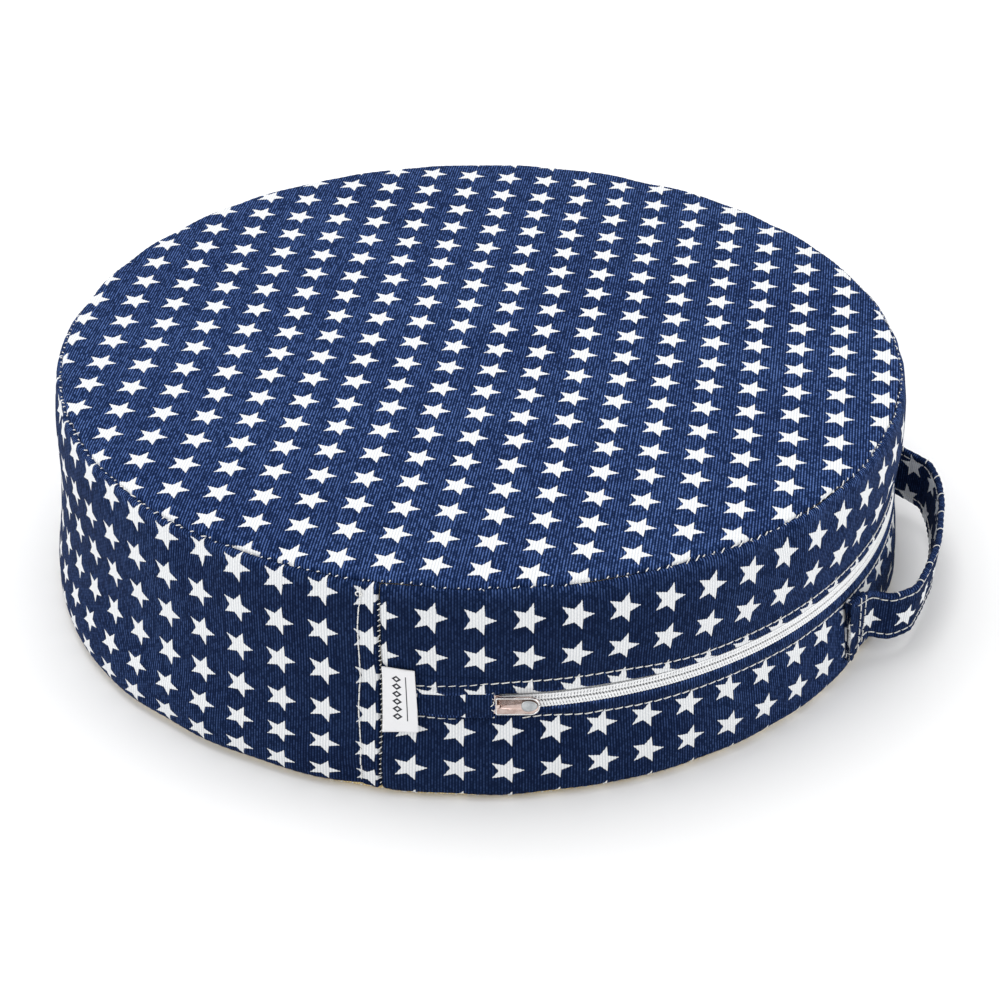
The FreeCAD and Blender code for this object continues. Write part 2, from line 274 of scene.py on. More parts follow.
class Wire:
    """One output of a shader node. Sums on it add Math nodes, and node() adds any other."""

    def __init__(self, tree, socket=None):
        self.tree = tree
        self.socket = socket

    def node(self, kind, settings=None, sockets=None, output=0):
        made = self.tree.nodes.new("ShaderNode" + kind)
        for name, value in (settings or {}).items():
            if name == "stops":
                while len(made.color_ramp.elements) < len(value):
                    made.color_ramp.elements.new(0.5)
                for stop, (place, colour) in zip(made.color_ramp.elements, value):
                    stop.position = place
                    stop.color = (*colour, 1)
            else:
                setattr(made, name, value)
        for key, value in (sockets or {}).items():
            if isinstance(value, Wire):
                self.tree.links.new(value.socket, made.inputs[key])
            else:
                made.inputs[key].default_value = value
        return Wire(self.tree, made.outputs[output])

    def maths(self, operation, *values):
        return self.node("Math", {"operation": operation}, dict(enumerate(values)))

    def __add__(self, other):
        return self.maths("ADD", self, other)

    def __radd__(self, other):
        return self.maths("ADD", other, self)

    def __sub__(self, other):
        return self.maths("SUBTRACT", self, other)

    def __rsub__(self, other):
        return self.maths("SUBTRACT", other, self)

    def __mul__(self, other):
        return self.maths("MULTIPLY", self, other)

    def __rmul__(self, other):
        return self.maths("MULTIPLY", other, self)

    def __truediv__(self, other):
        return self.maths("DIVIDE", self, other)

    def between(self, low, high):
        """0 below low, 1 above high, eased."""
        settings = {"interpolation_type": "SMOOTHSTEP"}
        return self.node("MapRange", settings, {0: self, 1: low, 2: high, 3: 0.0, 4: 1.0})

    def blend(self, first, second):
        """A colour between two others, by this factor."""
        first = first if isinstance(first, Wire) else (*first, 1)
        second = second if isinstance(second, Wire) else (*second, 1)
        return self.node("Mix", {"data_type": "RGBA"}, {0: self, 6: first, 7: second}, output=2)


def new_material(name, roughness, **constants):
    """A material with its shader and a wire to build on; constants go on the shader's own sockets."""
    material = bpy.data.materials.new(name)
    material.use_nodes = True
    shader = material.node_tree.nodes["Principled BSDF"]
    shader.inputs["Roughness"].default_value = roughness
    for socket, value in constants.items():
        shader.inputs[socket.replace("_", " ")].default_value = value
    return material, shader, Wire(material.node_tree)


def connect(shader, socket, wire):
    wire.tree.links.new(wire.socket, shader.inputs[socket])


def raise_grain(shader, height, strength, distance):
    """Relief on a material, from a wire's height, in metres."""
    bump = height.node("Bump", sockets={"Strength": strength, "Distance": distance, "Height": height})
    connect(shader, "Normal", bump)


def woven(wire, flat):
    """Height of the ribbed weave from 0 to 1, with each short run of yarn a little different."""
    parts = wire.node("SeparateXYZ", sockets={0: flat})
    across = parts * (1000 / rib_spacing)
    along = wire.node("SeparateXYZ", sockets={0: flat}, output=1) * (1000 / stitch_run)
    rib_number = across.maths("FLOOR", across)
    staggered = along + rib_number * 0.5
    rib = across.maths("COSINE", (across - 0.5) * (2 * math.pi)) * 0.5 + 0.5
    run = staggered.maths("COSINE", (staggered - 0.5) * (2 * math.pi)) * 0.5 + 0.5
    place = wire.node("CombineXYZ", sockets={0: rib_number, 1: staggered.maths("FLOOR", staggered)})
    chance = wire.node("TexWhiteNoise", {"noise_dimensions": "2D"}, {"Vector": place})
    return rib * (0.74 + run * 0.26), chance


def star_cloth_material():
    """Navy ground and white stars, with painted light and shade: painted highlights on the rib crests,
    painted shade in the rib valleys, and a brighter navy where a piece is painted more lit.
    """
    material, shader, wire = new_material("star_cloth", 0.86, Specular_IOR_Level=0.05)
    flat = wire.node("Attribute", {"attribute_name": "cloth"}, output=1)
    height, chance = woven(wire, flat)
    wander = wire.node("TexNoise", sockets={"Vector": flat, "Scale": 45.0, "Detail": 2.0}) - 0.5
    drift = wire.node("TexNoise", sockets={"Vector": flat, "Scale": 28.0, "Detail": 1.0}, output=0) - 0.5
    u = wire.node("SeparateXYZ", sockets={0: flat}) * 1000 + wander * 1.0
    v = wire.node("SeparateXYZ", sockets={0: flat}, output=1) * 1000 + drift * 1.0
    half = star_spacing / 2
    u = u.maths("WRAP", u, half, -half)
    v = v.maths("WRAP", v, half, -half)
    reach = u.maths("SQRT", u * u + v * v)
    turn = u.maths("ARCTAN2", v, u)
    turn = turn.maths("ABSOLUTE", turn.maths("WRAP", turn, math.pi / 5, -math.pi / 5))
    along = reach * turn.maths("COSINE", turn)
    across = reach * turn.maths("SINE", turn)
    notch = (star_notch * math.cos(math.pi / 5), star_notch * math.sin(math.pi / 5))
    edge = math.hypot(notch[0] - star_tip, notch[1])
    facing = (notch[1] / edge, (star_tip - notch[0]) / edge)
    inside = star_tip * facing[0] - (along * facing[0] + across * facing[1])
    printed = (inside + (height - 0.5) * 0.22 - 0.05).between(-0.14, 0.14)
    # Painted highlight on the rib crests, speckled by each run of yarn; the navy between the ribs is painted
    # shade.
    lit = (height * (0.55 + chance * 0.75)).between(0.26, 1.05)
    # Painted light: the third value says how brightly each place is painted lit, from a dim navy to a bright,
    # lifted navy.
    painted_light = wire.node("SeparateXYZ", sockets={0: flat}, output=2)
    shade = wire.node("TexNoise", sockets={"Vector": flat, "Scale": 14.0, "Detail": 4.0})
    low = painted_light.blend((0.0036, 0.0098, 0.034), (0.0028, 0.0120, 0.050))
    navy = lit.blend(low, painted_light.blend((0.0155, 0.0325, 0.090), (0.080, 0.143, 0.355)))
    multiply = {"data_type": "RGBA", "blend_type": "MULTIPLY"}
    faded = navy.node("Mix", multiply, {0: 1.0, 6: navy, 7: (0.72, 0.75, 0.82, 1)}, output=2)
    navy = shade.between(0.3, 0.75).blend(navy, faded)
    # The stars' white is painted grey in the rib valleys, as painted shade.
    white = height.blend((0.62, 0.64, 0.66), (0.865, 0.875, 0.885))
    connect(shader, "Base Color", printed.blend(navy, white))
    connect(shader, "Roughness", 0.92 - height * 0.12)
    raise_grain(shader, height, 0.55, 0.00028)
    return material


star_cloth = star_cloth_material()


def grid_faces(rows, columns, wrap=False):
    """Quads over a grid of points, row by row; wrap joins the last column to the first."""
    row, column = np.meshgrid(np.arange(rows - 1), np.arange(columns if wrap else columns - 1), indexing="ij")
    right = (column + 1) % columns
    here, below = row * columns, (row + 1) * columns
    quads = np.stack([here + column, here + right, below + right, below + column], axis=-1)
    return quads.reshape(-1, 4).tolist()


def finished(name, points, faces, material, flat=None, thickness=0.0, body="cushion"):
    """A smooth-shaded piece from points and faces; flat is its place on the bolt and how brightly it is
    painted lit.
    """
    mesh = bpy.data.meshes.new(name)
    mesh.from_pydata(np.asarray(points, float).reshape(-1, 3).tolist(), [], faces)
    if flat is not None:
        marks = mesh.attributes.new("cloth", "FLOAT_VECTOR", "POINT")
        flat = np.asarray(flat, float).reshape(-1, np.shape(flat)[-1])
        # The third value is painted light; a piece without it gets a middling painted light level.
        painted_light = flat[:, 2] if flat.shape[1] > 2 else np.full(len(flat), 0.3)
        marks.data.foreach_set("vector", np.c_[flat[:, :2], painted_light].ravel())
    mesh.materials.append(material)
    piece = bpy.data.objects.new(name, mesh)
    scene.collection.objects.link(piece)
    if thickness:
        wall = piece.modifiers.new("thickness", "SOLIDIFY")
        wall.thickness = abs(thickness)
        wall.offset = -1 if thickness > 0 else 1
        solid = bpy.data.meshes.new_from_object(piece.evaluated_get(bpy.context.evaluated_depsgraph_get()))
        piece.modifiers.clear()
        piece.data = solid
    shell = bmesh.new()
    shell.from_mesh(piece.data)
    bmesh.ops.recalc_face_normals(shell, faces=shell.faces)
    shell.to_mesh(piece.data)
    shell.free()
    piece.data.polygons.foreach_set("use_smooth", [True] * len(piece.data.polygons))
    piece.data.update()
    if body:
        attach(piece, body)
    return piece


# ---- foam core -----------------------------------------------------------------------------------
# A round block of open-cell seat foam, cut to fill the cover. It shows only where the cover is open.
foam_inset = 3.0 * mm


def foam_material():
    material, shader, wire = new_material("seat_foam", 0.95)
    where = wire.node("TexCoord", output=3)
    cells = wire.node("TexVoronoi", sockets={"Vector": where, "Scale": 700.0})
    tone = wire.node("TexNoise", sockets={"Vector": where, "Scale": 30.0, "Detail": 5.0})
    connect(shader, "Base Color", tone.between(0.3, 0.7).blend((0.80, 0.74, 0.56), (0.87, 0.83, 0.68)))
    raise_grain(shader, cells, 0.7, 0.0006)
    return material


def foam_core():
    turns = 180
    rows = np.r_[np.linspace(0.004, top_seam_s, 24), np.linspace(top_seam_s, base_seam_s, 22)[1:],
                 np.linspace(base_seam_s, path_length[-1] - 0.004, 20)[1:]]
    angles = np.arange(turns) * 2 * math.pi / turns
    points = on_cover(angles[None, :], rows[:, None], -foam_inset - 1.2 * mm)
    faces = grid_faces(len(rows), turns, wrap=True)
    faces += [list(range(turns)), list(range(len(rows) * turns - 1, (len(rows) - 1) * turns - 1, -1))]
    piece = finished("foam_disc", points, faces, foam_material())
    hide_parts("foam_core")


foam_core()


# ---- seat panel ----------------------------------------------------------------------------------
# One round of cloth, turned down over the foam's edge and sewn to the band all round. The stitches
# pull the seam into a narrow groove, and the print runs a little askew to the zip.
cloth_thickness = 0.8 * mm
print_turn = math.radians(-8.53)
print_origin = (2.25 * mm, -43.0 * mm)
seam_stitch = 4.3 * mm
groove = 1.1 * mm


def seam_pull(distance, arc):
    """How far a seam draws the cloth in, at a distance from it: a groove, deeper at each stitch."""
    tug = 0.22 * mm * (0.5 + 0.5 * np.cos(2 * math.pi * arc / seam_stitch))
    return -groove * np.exp(-(distance / (1.0 * mm)) ** 2) - tug * np.exp(-(distance / (2.6 * mm)) ** 2)


def seam_waver(angle, amount=0.45 * mm):
    """Hand-guided seams wander up and down a little."""
    return amount * ripple(angle * seam_radius, 0 * angle, seed=21, waves=7, wavelength=0.045)


def seat_panel():
    rings = []
    for turns, start, end, count in ((135, 0.006, 0.04, 6), (270, 0.045, 0.08, 8), (540, 0.085, 0.155, 15)):
        rings += [(turns, s) for s in np.linspace(start, end, count)]
    rings += [(1080, s) for s in np.linspace(0.16, top_seam_s - 6 * mm, 9)]
    rings += [(1080, s) for s in top_seam_s - 6 * mm * (1 - np.linspace(0, 1, 13)[1:]) ** 1.5]
    points, faces, starts = [(0, 0, seat_z + float(swell_at(np.array(0.0), np.array(0.012))))], [], []
    for turns, s in rings:
        angle = np.arange(turns) * 2 * math.pi / turns
        arc = angle * seam_radius
        near = top_seam_s - s
        place = s + seam_waver(angle) * smooth(1 - near / 0.02)
        lift = 0.14 * mm * ripple(s * np.cos(angle), s * np.sin(angle), seed=8, waves=10, wavelength=0.05)
        lift = lift + seam_pull(near, arc)
        starts.append(len(points))
        points += on_cover(angle, place, lift).tolist()
    faces += [(0, 1 + i, 1 + (i + 1) % rings[0][0]) for i in range(rings[0][0])]
    for (inner, _), (outer, _), a, b in zip(rings, rings[1:], starts, starts[1:]):
        if inner == outer:
            faces += [(a + i, b + i, b + (i + 1) % outer, a + (i + 1) % inner) for i in range(inner)]
        else:
            for i in range(inner):
                two, three = b + 2 * i + 1, b + (2 * i + 2) % outer
                faces += [(a + i, b + 2 * i, two), (a + i, two, three, a + (i + 1) % inner)]
    points = np.array(points)
    across = points[:, 0] - print_origin[0]
    away = points[:, 1] - print_origin[1]
    # The whole seat is painted fully lit, as under the overhead light.
    flat = np.c_[
        across * math.cos(print_turn) + away * math.sin(print_turn),
        -across * math.sin(print_turn) + away * math.cos(print_turn),
        np.ones(len(points)),
    ]
    piece = finished("seat_panel", points, faces, star_cloth, flat, cloth_thickness)
    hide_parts("top_panel")


seat_panel()


# ---- plain side band -----------------------------------------------------------------------------
# The half of the band without a zip: one straight strip, seamed to the seat, the base and both ends of
# the zip panel. A row of white topstitching holds the turned allowance beside each join.
join_angle = math.radians(-102.0)
far_join = join_angle + math.pi
band_radius = 0.193
band_print = (-64.5 * mm, 95.8 * mm)     # a star's middle: round the band from the front, and up
front = math.radians(-90)


def band_flat(angle, s, origin=band_print, spare=1.0):
    """Place on the bolt of a piece of band, and how brightly it is painted lit. It is cut taller than the
    foam, and eased in toward the base.
    """
    up = band_start_z + (band_start_s - s)
    up = up - spare * 0.0688 * mm * np.clip(37.3 - up / mm, 0, None) ** 1.47
    # Painted light: the sides are painted brighter than the front, the right side a little more, with a
    # painted highlight on the shoulder just below the top seam.
    away = np.abs(np.mod(angle - front + math.pi, 2 * math.pi) - math.pi)
    painted_light = 0.08 + 0.29 * smooth((away - 0.15) / 0.7) + 0.12 * smooth(angle - front)
    painted_light = painted_light + 0.5 * np.exp(-((s - top_seam_s) / (5 * mm)) ** 2)
    along = (angle - front) * band_radius
    return np.stack(np.broadcast_arrays(along - origin[0], up - origin[1], painted_light), axis=-1)


def edge_pinch(angle, s):
    """The band near the top seam: small upright gathers where the tight round takes up its length."""
    down = s - top_seam_s
    gather = ripple(angle * band_radius * 1.0, 0 * angle, seed=31, waves=11, wavelength=0.0085)
    uneven = 0.5 + 0.5 * ripple(angle * band_radius, 0 * angle, seed=32, waves=5, wavelength=0.09)
    return 0.16 * mm * gather * np.clip(uneven, 0, 1.5) * np.exp(-down / (7 * mm)) * smooth(down / (2 * mm))


def band_rows(first, last, fine_first, fine_last, coarse=4 * mm):
    """Places from the top to the bottom of a strip, closer together beside its edges."""
    step = 0.5 * mm
    lead = first + np.arange(0, fine_first, step)
    tail = last - np.arange(0, fine_last, step)[::-1]
    count = max(2, int(round((tail[0] - lead[-1]) / coarse)) + 1)
    return np.r_[lead, np.linspace(lead[-1], tail[0], count + 1)[1:-1], tail]


def columns(start, end, step=1.1 * mm, fine=6 * mm):
    """Angles along a strip, closer together beside its two ends."""
    ends = np.arange(0, fine, 0.55 * mm) / band_radius
    middle = np.linspace(start + ends[-1], end - ends[-1], int((end - start) * band_radius / step))
    return np.r_[start + ends[:-1], middle, (end - ends[:-1])[::-1]]


def plain_band():
    gap = 0.25 * mm / band_radius
    angle = columns(far_join + gap, join_angle + 2 * math.pi - gap)[None, :]
    rows = band_rows(top_seam_s, base_seam_s, 6 * mm, 5 * mm)[:, None]
    arc = angle * seam_radius
    place = rows + seam_waver(angle) * smooth(1 - (rows - top_seam_s) / 0.02)
    lift = seam_pull(rows - top_seam_s, arc) + seam_pull(base_seam_s - rows, arc)
    lift = lift + edge_pinch(angle, rows)
    lift = lift + 0.16 * mm * ripple(arc, rows, seed=9, waves=10, wavelength=0.045)
    for join in (far_join, join_angle + 2 * math.pi):
        away = np.abs(angle - join) * band_radius
        lift = lift + seam_pull(away, rows)
        lift = lift + 0.5 * mm * smooth(1 - away / (9 * mm)) * smooth(away / (1.5 * mm))
        lift = lift - 0.35 * mm * np.exp(-((away - 8.5 * mm) / (0.8 * mm)) ** 2)
    points = on_cover(angle, place, lift)
    flat = band_flat(angle - 2 * math.pi, rows)
    faces = [face[::-1] for face in grid_faces(len(rows), angle.shape[1])]
    piece = finished("plain_band", points, faces, star_cloth, flat, cloth_thickness)
    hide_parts("side_band")


plain_band()


# ---- zip panel strips ----------------------------------------------------------------------------
# Two strips of the printed cloth, one each side of the zip. Each has its long edge folded under and
# topstitched through the zip's tape, so the folded edge stands a little proud beside the coils.
coil_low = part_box("zipper_coil_lower")[0].z
coil_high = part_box("zipper_coil_upper")[1].z
zip_z = (coil_low + coil_high) / 2
fold_clear = 0.3 * mm
lower_fold_z = coil_low - fold_clear
upper_fold_z = coil_high + fold_clear
hem_back = 8 * mm
fold_half = 0.95 * mm
upper_print = (-0.6 * mm, 88.7 * mm)
lower_print = (-9.0 * mm, 32.4 * mm)


def along_zip(angle):
    """Millimetres along the band from the front, to the right."""
    return (angle - front) * wall_radius(zip_z) / mm


def strip_edges(angle, side):
    """How far a strip's fold and its row of stitches stray from level, upward, in millimetres."""
    x = along_zip(angle)
    if side > 0:
        parked = smooth((18 - x) / 8)
        fold = 0.9 * parked + 0.8 * smooth((x + 10) / 30) * smooth((95 - x) / 45) * (1 - parked)
        return fold, -0.8 + 2.4 * smooth((x + 24) / 40) * smooth((95 - x) / 45)
    fold = -2.4 * smooth((24 - x) / 14) * smooth((x + 32) / 16)
    return fold, 0.9 - 1.8 * smooth((x - 25) / 20) - 0.5 * smooth((24 - x) / 14) * smooth((x + 32) / 16)


def strip_shape(angle, rows, side):
    """Where a strip's cloth lies: places on the outline, and lift off it."""
    arc = angle * seam_radius
    fold_s = s_at(upper_fold_z if side > 0 else lower_fold_z)
    row_gap = abs(s_at(upper_row_z if side > 0 else lower_row_z) - fold_s)
    seam_s = top_seam_s if side > 0 else base_seam_s
    from_seam, from_fold = np.abs(rows - seam_s), np.abs(rows - fold_s)
    fold_stray, row_stray = strip_edges(angle, side)
    at_row = smooth(from_fold / row_gap)
    stray = fold_stray * (1 - at_row) + row_stray * at_row * smooth((18 * mm - from_fold) / (12 * mm))
    place = rows - stray * mm
    place = place + 0.22 * mm * ripple(arc, 0 * arc, 41 + side, 6, 0.06) * smooth(1 - from_fold / 0.012)
    if side > 0:
        place = place + seam_waver(angle) * smooth(1 - from_seam / 0.02)
    lift = 0.14 * mm * ripple(arc, rows, 51 + side, 10, 0.04) * smooth(from_fold / (5 * mm))
    lift = lift + seam_pull(from_seam, arc) + (edge_pinch(angle, rows) if side > 0 else 0)
    tug = 0.5 + 0.5 * np.cos(2 * math.pi * arc / seam_stitch)
    over_flap = smooth((9 - along_zip(angle)) / 6) * (0.1 + 0.9 * smooth((along_zip(angle) + 31) / 7))
    hem_rise = smooth(1.25 - from_fold / row_gap) * smooth((from_fold - 0.9 * mm) / (1.4 * mm))
    lift = lift + 0.55 * mm * hem_rise
    lift = lift - (0.30 + 0.2 * tug) * mm * np.exp(-((from_fold - row_gap) / (0.9 * mm)) ** 2)
    lift = lift + (1.5 if side > 0 else 0.7) * mm * over_flap * smooth(1 - from_fold / (row_gap * 1.1))
    for join in (join_angle, far_join):
        lift = lift + seam_pull(np.abs(angle - join) * band_radius, rows)
    return place, lift


def zip_strip(name, node, side):
    """The strip above the zip (side 1) or below it (side -1), with its fold."""
    gap = 0.25 * mm / band_radius
    angle = columns(join_angle + gap, far_join - gap)[None, :]
    fold_s = s_at(upper_fold_z if side > 0 else lower_fold_z)
    low, high = sorted((top_seam_s if side > 0 else base_seam_s, fold_s))
    rows = band_rows(low, high, 7 * mm, 7 * mm)
    rows = rows if side > 0 else rows[::-1]
    place, lift = strip_shape(angle, rows[:, None], side)
    turn = np.linspace(0, math.pi, 9)[1:]
    hem = np.linspace(0, hem_back, 5)[1:]
    onward = np.r_[side * fold_half * np.sin(turn), -side * hem]
    deep = np.r_[-fold_half * (1 - np.cos(turn)), np.full(len(hem), -2 * fold_half)]
    place = np.r_[place, place[-1:, :] + onward[:, None]]
    lift = np.r_[lift, lift[-1:, :] + deep[:, None]]
    cut = np.r_[rows, fold_s + side * fold_half * turn, fold_s + side * (fold_half * math.pi + hem)]
    points = on_cover(angle, place, lift)
    flat = band_flat(angle, cut[:, None], upper_print if side > 0 else lower_print, spare=0.4)
    # Painted highlight along each folded edge, stronger on the lower fold.
    rolled = np.exp(-(np.abs(cut - fold_s) / (1.0 * mm)) ** 2)[:, None]
    flat[..., 2] = np.maximum(flat[..., 2], (0.8 if side < 0 else 0.45) * rolled)
    faces = grid_faces(len(cut), angle.shape[1])
    if side > 0:
        faces = [face[::-1] for face in faces]
    piece = finished(name, points, faces, star_cloth, flat, cloth_thickness * 0.8)
    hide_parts(node)


zip_strip("zip_strip_upper", "zip_band_upper", 1)
zip_strip("zip_strip_lower", "zip_band_lower", -1)


# ---- base panel ----------------------------------------------------------------------------------
# The round under the cushion is coloured pale tan. Only its edge shows, as a pale line at the floor.
def base_material():
    material, shader, wire = new_material("base_tan_cloth", 0.9)
    flat = wire.node("Attribute", {"attribute_name": "cloth"}, output=1)
    height, chance = woven(wire, flat)
    # Lighter on the rib crests, as a painted highlight, with each run of yarn a little different.
    tone = (height * (0.7 + chance * 0.4)).between(0.1, 1.0)
    connect(shader, "Base Color", tone.blend((0.62, 0.47, 0.22), (0.90, 0.76, 0.44)))
    raise_grain(shader, height, 0.5, 0.0003)
    return material


def base_panel():
    turns = 540
    edge_rows = np.linspace(base_seam_s, base_seam_s + 5 * mm, 8)
    rows = np.r_[edge_rows, np.linspace(base_seam_s + 8 * mm, path_length[-1] - 4 * mm, 24)]
    angle = np.arange(turns)[None, :] * 2 * math.pi / turns
    lift = seam_pull(rows[:, None] - base_seam_s, angle * seam_radius)
    points = on_cover(angle, rows[:, None], lift).reshape(-1, 3)
    points[:, 2] = np.maximum(points[:, 2], floor_z)
    faces = [face[::-1] for face in grid_faces(len(rows), turns, wrap=True)]
    faces.append(list(range((len(rows) - 1) * turns, len(rows) * turns))[::-1])
    flat = points[:, :2]
    piece = finished("base_panel", points, faces, base_material(), flat, cloth_thickness)
    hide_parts("bottom_panel")


base_panel()


# ---- threads -------------------------------------------------------------------------------------
# White polyester sewing thread. Every stitch is a short length of it that comes up through the cloth,
# lies on it and goes down again; a seam's thread shows only as slanting bits in the groove.
thread_radius = 0.27 * mm


def thread_material():
    material, shader, wire = new_material("white_thread", 0.7, Sheen_Weight=0.2)
    where = wire.node("TexCoord", output=3)
    fibre = wire.node("TexNoise", sockets={"Vector": where, "Scale": 2200.0, "Detail": 2.0})
    connect(shader, "Base Color", fibre.between(0.3, 0.7).blend((0.62, 0.62, 0.60), (0.90, 0.90, 0.88)))
    raise_grain(shader, fibre, 0.6, 0.0002)
    return material


white_thread = thread_material()


def tube(line, radius, sides=7, round_ends=True):
    """Points and faces of a round strand along a line; the ends taper to a round tip."""
    line = np.asarray(line, float)
    along = np.gradient(line, axis=0)
    along /= np.linalg.norm(along, axis=1)[:, None] + 1e-12
    outward = line * np.array([1, 1, 0]) + np.array([0, 0, 1e-4])
    side = np.cross(along, outward)
    side /= np.linalg.norm(side, axis=1)[:, None] + 1e-12
    up = np.cross(side, along)
    place = np.linspace(-1, 1, len(line))
    size = np.full(len(line), radius)
    if round_ends:
        size *= np.sqrt(np.clip(1.02 - np.abs(place) ** 6, 0.02, 1))
    turn = np.arange(sides) * 2 * math.pi / sides
    ring = np.cos(turn)[None, :, None] * side[:, None, :] + np.sin(turn)[None, :, None] * up[:, None, :]
    points = (line[:, None, :] + ring * size[:, None, None]).reshape(-1, 3)
    faces = grid_faces(len(line), sides, wrap=True)
    faces += [tuple(range(sides))[::-1], tuple(range((len(line) - 1) * sides, len(line) * sides))]
    return points, faces


def gathered(parts):
    """Several lots of points and faces as one."""
    points, faces, count = [], [], 0
    for part_points, part_faces in parts:
        points.append(part_points)
        faces += [tuple(count + i for i in face) for face in part_faces]
        count += len(part_points)
    return np.concatenate(points), faces


def strands(name, lines, body="cushion", radius=thread_radius, node=None, material=None):
    """One piece made of many short strands, in place of a CAD node."""
    points, faces = gathered([tube(line, radius) for line in lines])
    piece = finished(name, points, faces, material or white_thread, body=body)
    if node:
        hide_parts(node)
    return piece


def lying(count=9, high=0.28 * mm, low=-0.3 * mm):
    """A stitch's height above the cloth from one needle hole to the next."""
    t = np.linspace(-1, 1, count)
    return low + (high - low) * np.clip(1.4 * (1 - t ** 6), 0, 1)


def zip_row(side, seed):
    """The topstitching along one side of the zip, each stitch lying slightly askew."""
    dice = np.random.default_rng(seed)
    lines = []
    step = seam_stitch / band_radius
    row_s = s_at(upper_row_z if side > 0 else lower_row_z)
    for first in np.arange(join_angle + 1.2 * mm / band_radius, far_join - step, step):
        angle = first + np.linspace(0.04, 0.92, 9) * step
        place, lift = strip_shape(angle, np.full(9, row_s), side)
        slant = (np.linspace(-0.16, 0.16, 9) + dice.normal(0, 0.05)) * mm
        sunk = smooth((along_zip(first) + 14) / 5) * smooth((17 - along_zip(first)) / 5) if side < 0 else 0
        lines.append(on_cover(angle, place - slant, np.mean(lift) + 0.12 * mm + lying() - 0.9 * mm * sunk))
    return lines


strands("zip_stitches_upper", zip_row(1, 61), node="zip_topstitch_upper")
strands("zip_stitches_lower", zip_row(-1, 62), node="zip_topstitch_lower")


def upright_row(offset_angle, seed, wave):
    """An upright row of topstitches beside a join, a little wavy."""
    dice = np.random.default_rng(seed)
    lines = []
    for z in np.arange(5.5 * mm, 97.5 * mm, seam_stitch):
        up = z + np.linspace(-0.02, 1.02, 11) * seam_stitch
        sway = wave * np.sin(up / 0.009) * np.sin(up / 0.023) + dice.normal(0, 0.06) * mm
        lines.append(on_cover(offset_angle + sway / band_radius, s_at(up), lying(11, 0.34 * mm, 0.12 * mm)))
    return lines


topstitch_offset = 8.5 * mm / band_radius
near_row = upright_row(join_angle - topstitch_offset, 63, 0.9 * mm)
loop = np.linspace(0, 2 * math.pi, 15)
near_row.append(on_cover(
    join_angle - topstitch_offset + (1.3 * mm * np.sin(loop) + 0.3 * mm) / band_radius,
    s_at(96.0 * mm + 1.2 * mm * (1 - np.cos(loop)) * 0.8), 0.35 * mm,
))
far_row = upright_row(far_join + topstitch_offset, 64, 0.3 * mm)
strands("join_topstitches", near_row + far_row, node="band_topstitches")


def join_bits():
    """The joins' own thread, showing between the two rolled edges as small slanting bits."""
    dice = np.random.default_rng(65)
    lines = []
    for join in (join_angle, far_join):
        for z in np.arange(6 * mm, 96 * mm, 2.5 * mm):
            size = dice.uniform(0.3, 0.8) * mm
            across = np.linspace(-1, 1, 7) * size / band_radius
            rise = np.linspace(-0.5, 0.5, 7) * dice.uniform(0.5, 1.2) * mm
            lines.append(on_cover(join + across, s_at(z + rise), -0.35 * mm + lying(7, 0.22 * mm, -0.4 * mm)))
    return lines


strands("join_threads", join_bits(), radius=0.2 * mm, node="band_join_threads")


def seam_bits(seam_s, seed, shown):
    """A round seam's thread: slanting bits that cross the groove, more of them where it gapes."""
    dice = np.random.default_rng(seed)
    lines = []
    step = seam_stitch / seam_radius
    for angle in np.arange(0, 2 * math.pi - step / 2, step):
        gape = 0.5 + 0.6 * float(ripple(np.array(angle * seam_radius), np.array(0.0), seed, 5, 0.16))
        reach = (0.35 + 1.5 * dice.uniform(0.0, 1.0) ** 1.5 * shown * np.clip(gape, 0.1, 1.2)) * mm
        t = np.linspace(-1, 1, 9)
        across = angle + dice.normal(0, 0.15) * step + t * reach * dice.uniform(0.3, 1.2) / seam_radius
        seam = seam_s + float(seam_waver(np.array(angle))) + dice.normal(-0.15, 0.25) * mm
        down = seam - t * reach * dice.uniform(0.2, 0.9)
        sunk = dice.uniform(-0.85, -0.6) * mm
        lines.append(on_cover(across, down, sunk + lying(9, 0.58 * mm, -0.25 * mm) + 0.15 * mm * t ** 2))
    return lines


strands("seat_seam_thread", seam_bits(top_seam_s, 66, 1.0), radius=0.23 * mm, node="top_seam_thread")
strands("base_seam_thread", seam_bits(base_seam_s, 67, 0.45), radius=0.22 * mm, node="bottom_seam_thread")


# ---- zip tapes and coils -------------------------------------------------------------------------
# A white nylon coil zip. Each coil is a spiral of thick filament sewn to its woven tape; the turns of
# the two spirals lie between each other along the middle. It is shut from the label round to the end.
coil_pitch = 1.35 * mm


def on_band(angle, z, out):
    """Points on the plain band, with none of the cover's swell, standing out of it by a distance."""
    angle, z, out = np.broadcast_arrays(*(np.asarray(value, float) for value in (angle, z, out)))
    r = wall_radius(z) + out / math.cos(lean)
    return np.stack([r * np.cos(angle), r * np.sin(angle), z], axis=-1)


def nylon_material(name, low, high, scale):
    material, shader, wire = new_material(name, 0.42, Specular_IOR_Level=0.45, Coat_Weight=0.1)
    where = wire.node("TexCoord", output=3)
    grain = wire.node("TexNoise", sockets={"Vector": where, "Scale": scale, "Detail": 3.0})
    connect(shader, "Base Color", grain.between(0.3, 0.7).blend(low, high))
    raise_grain(shader, grain, 0.25, 0.0002)
    return material


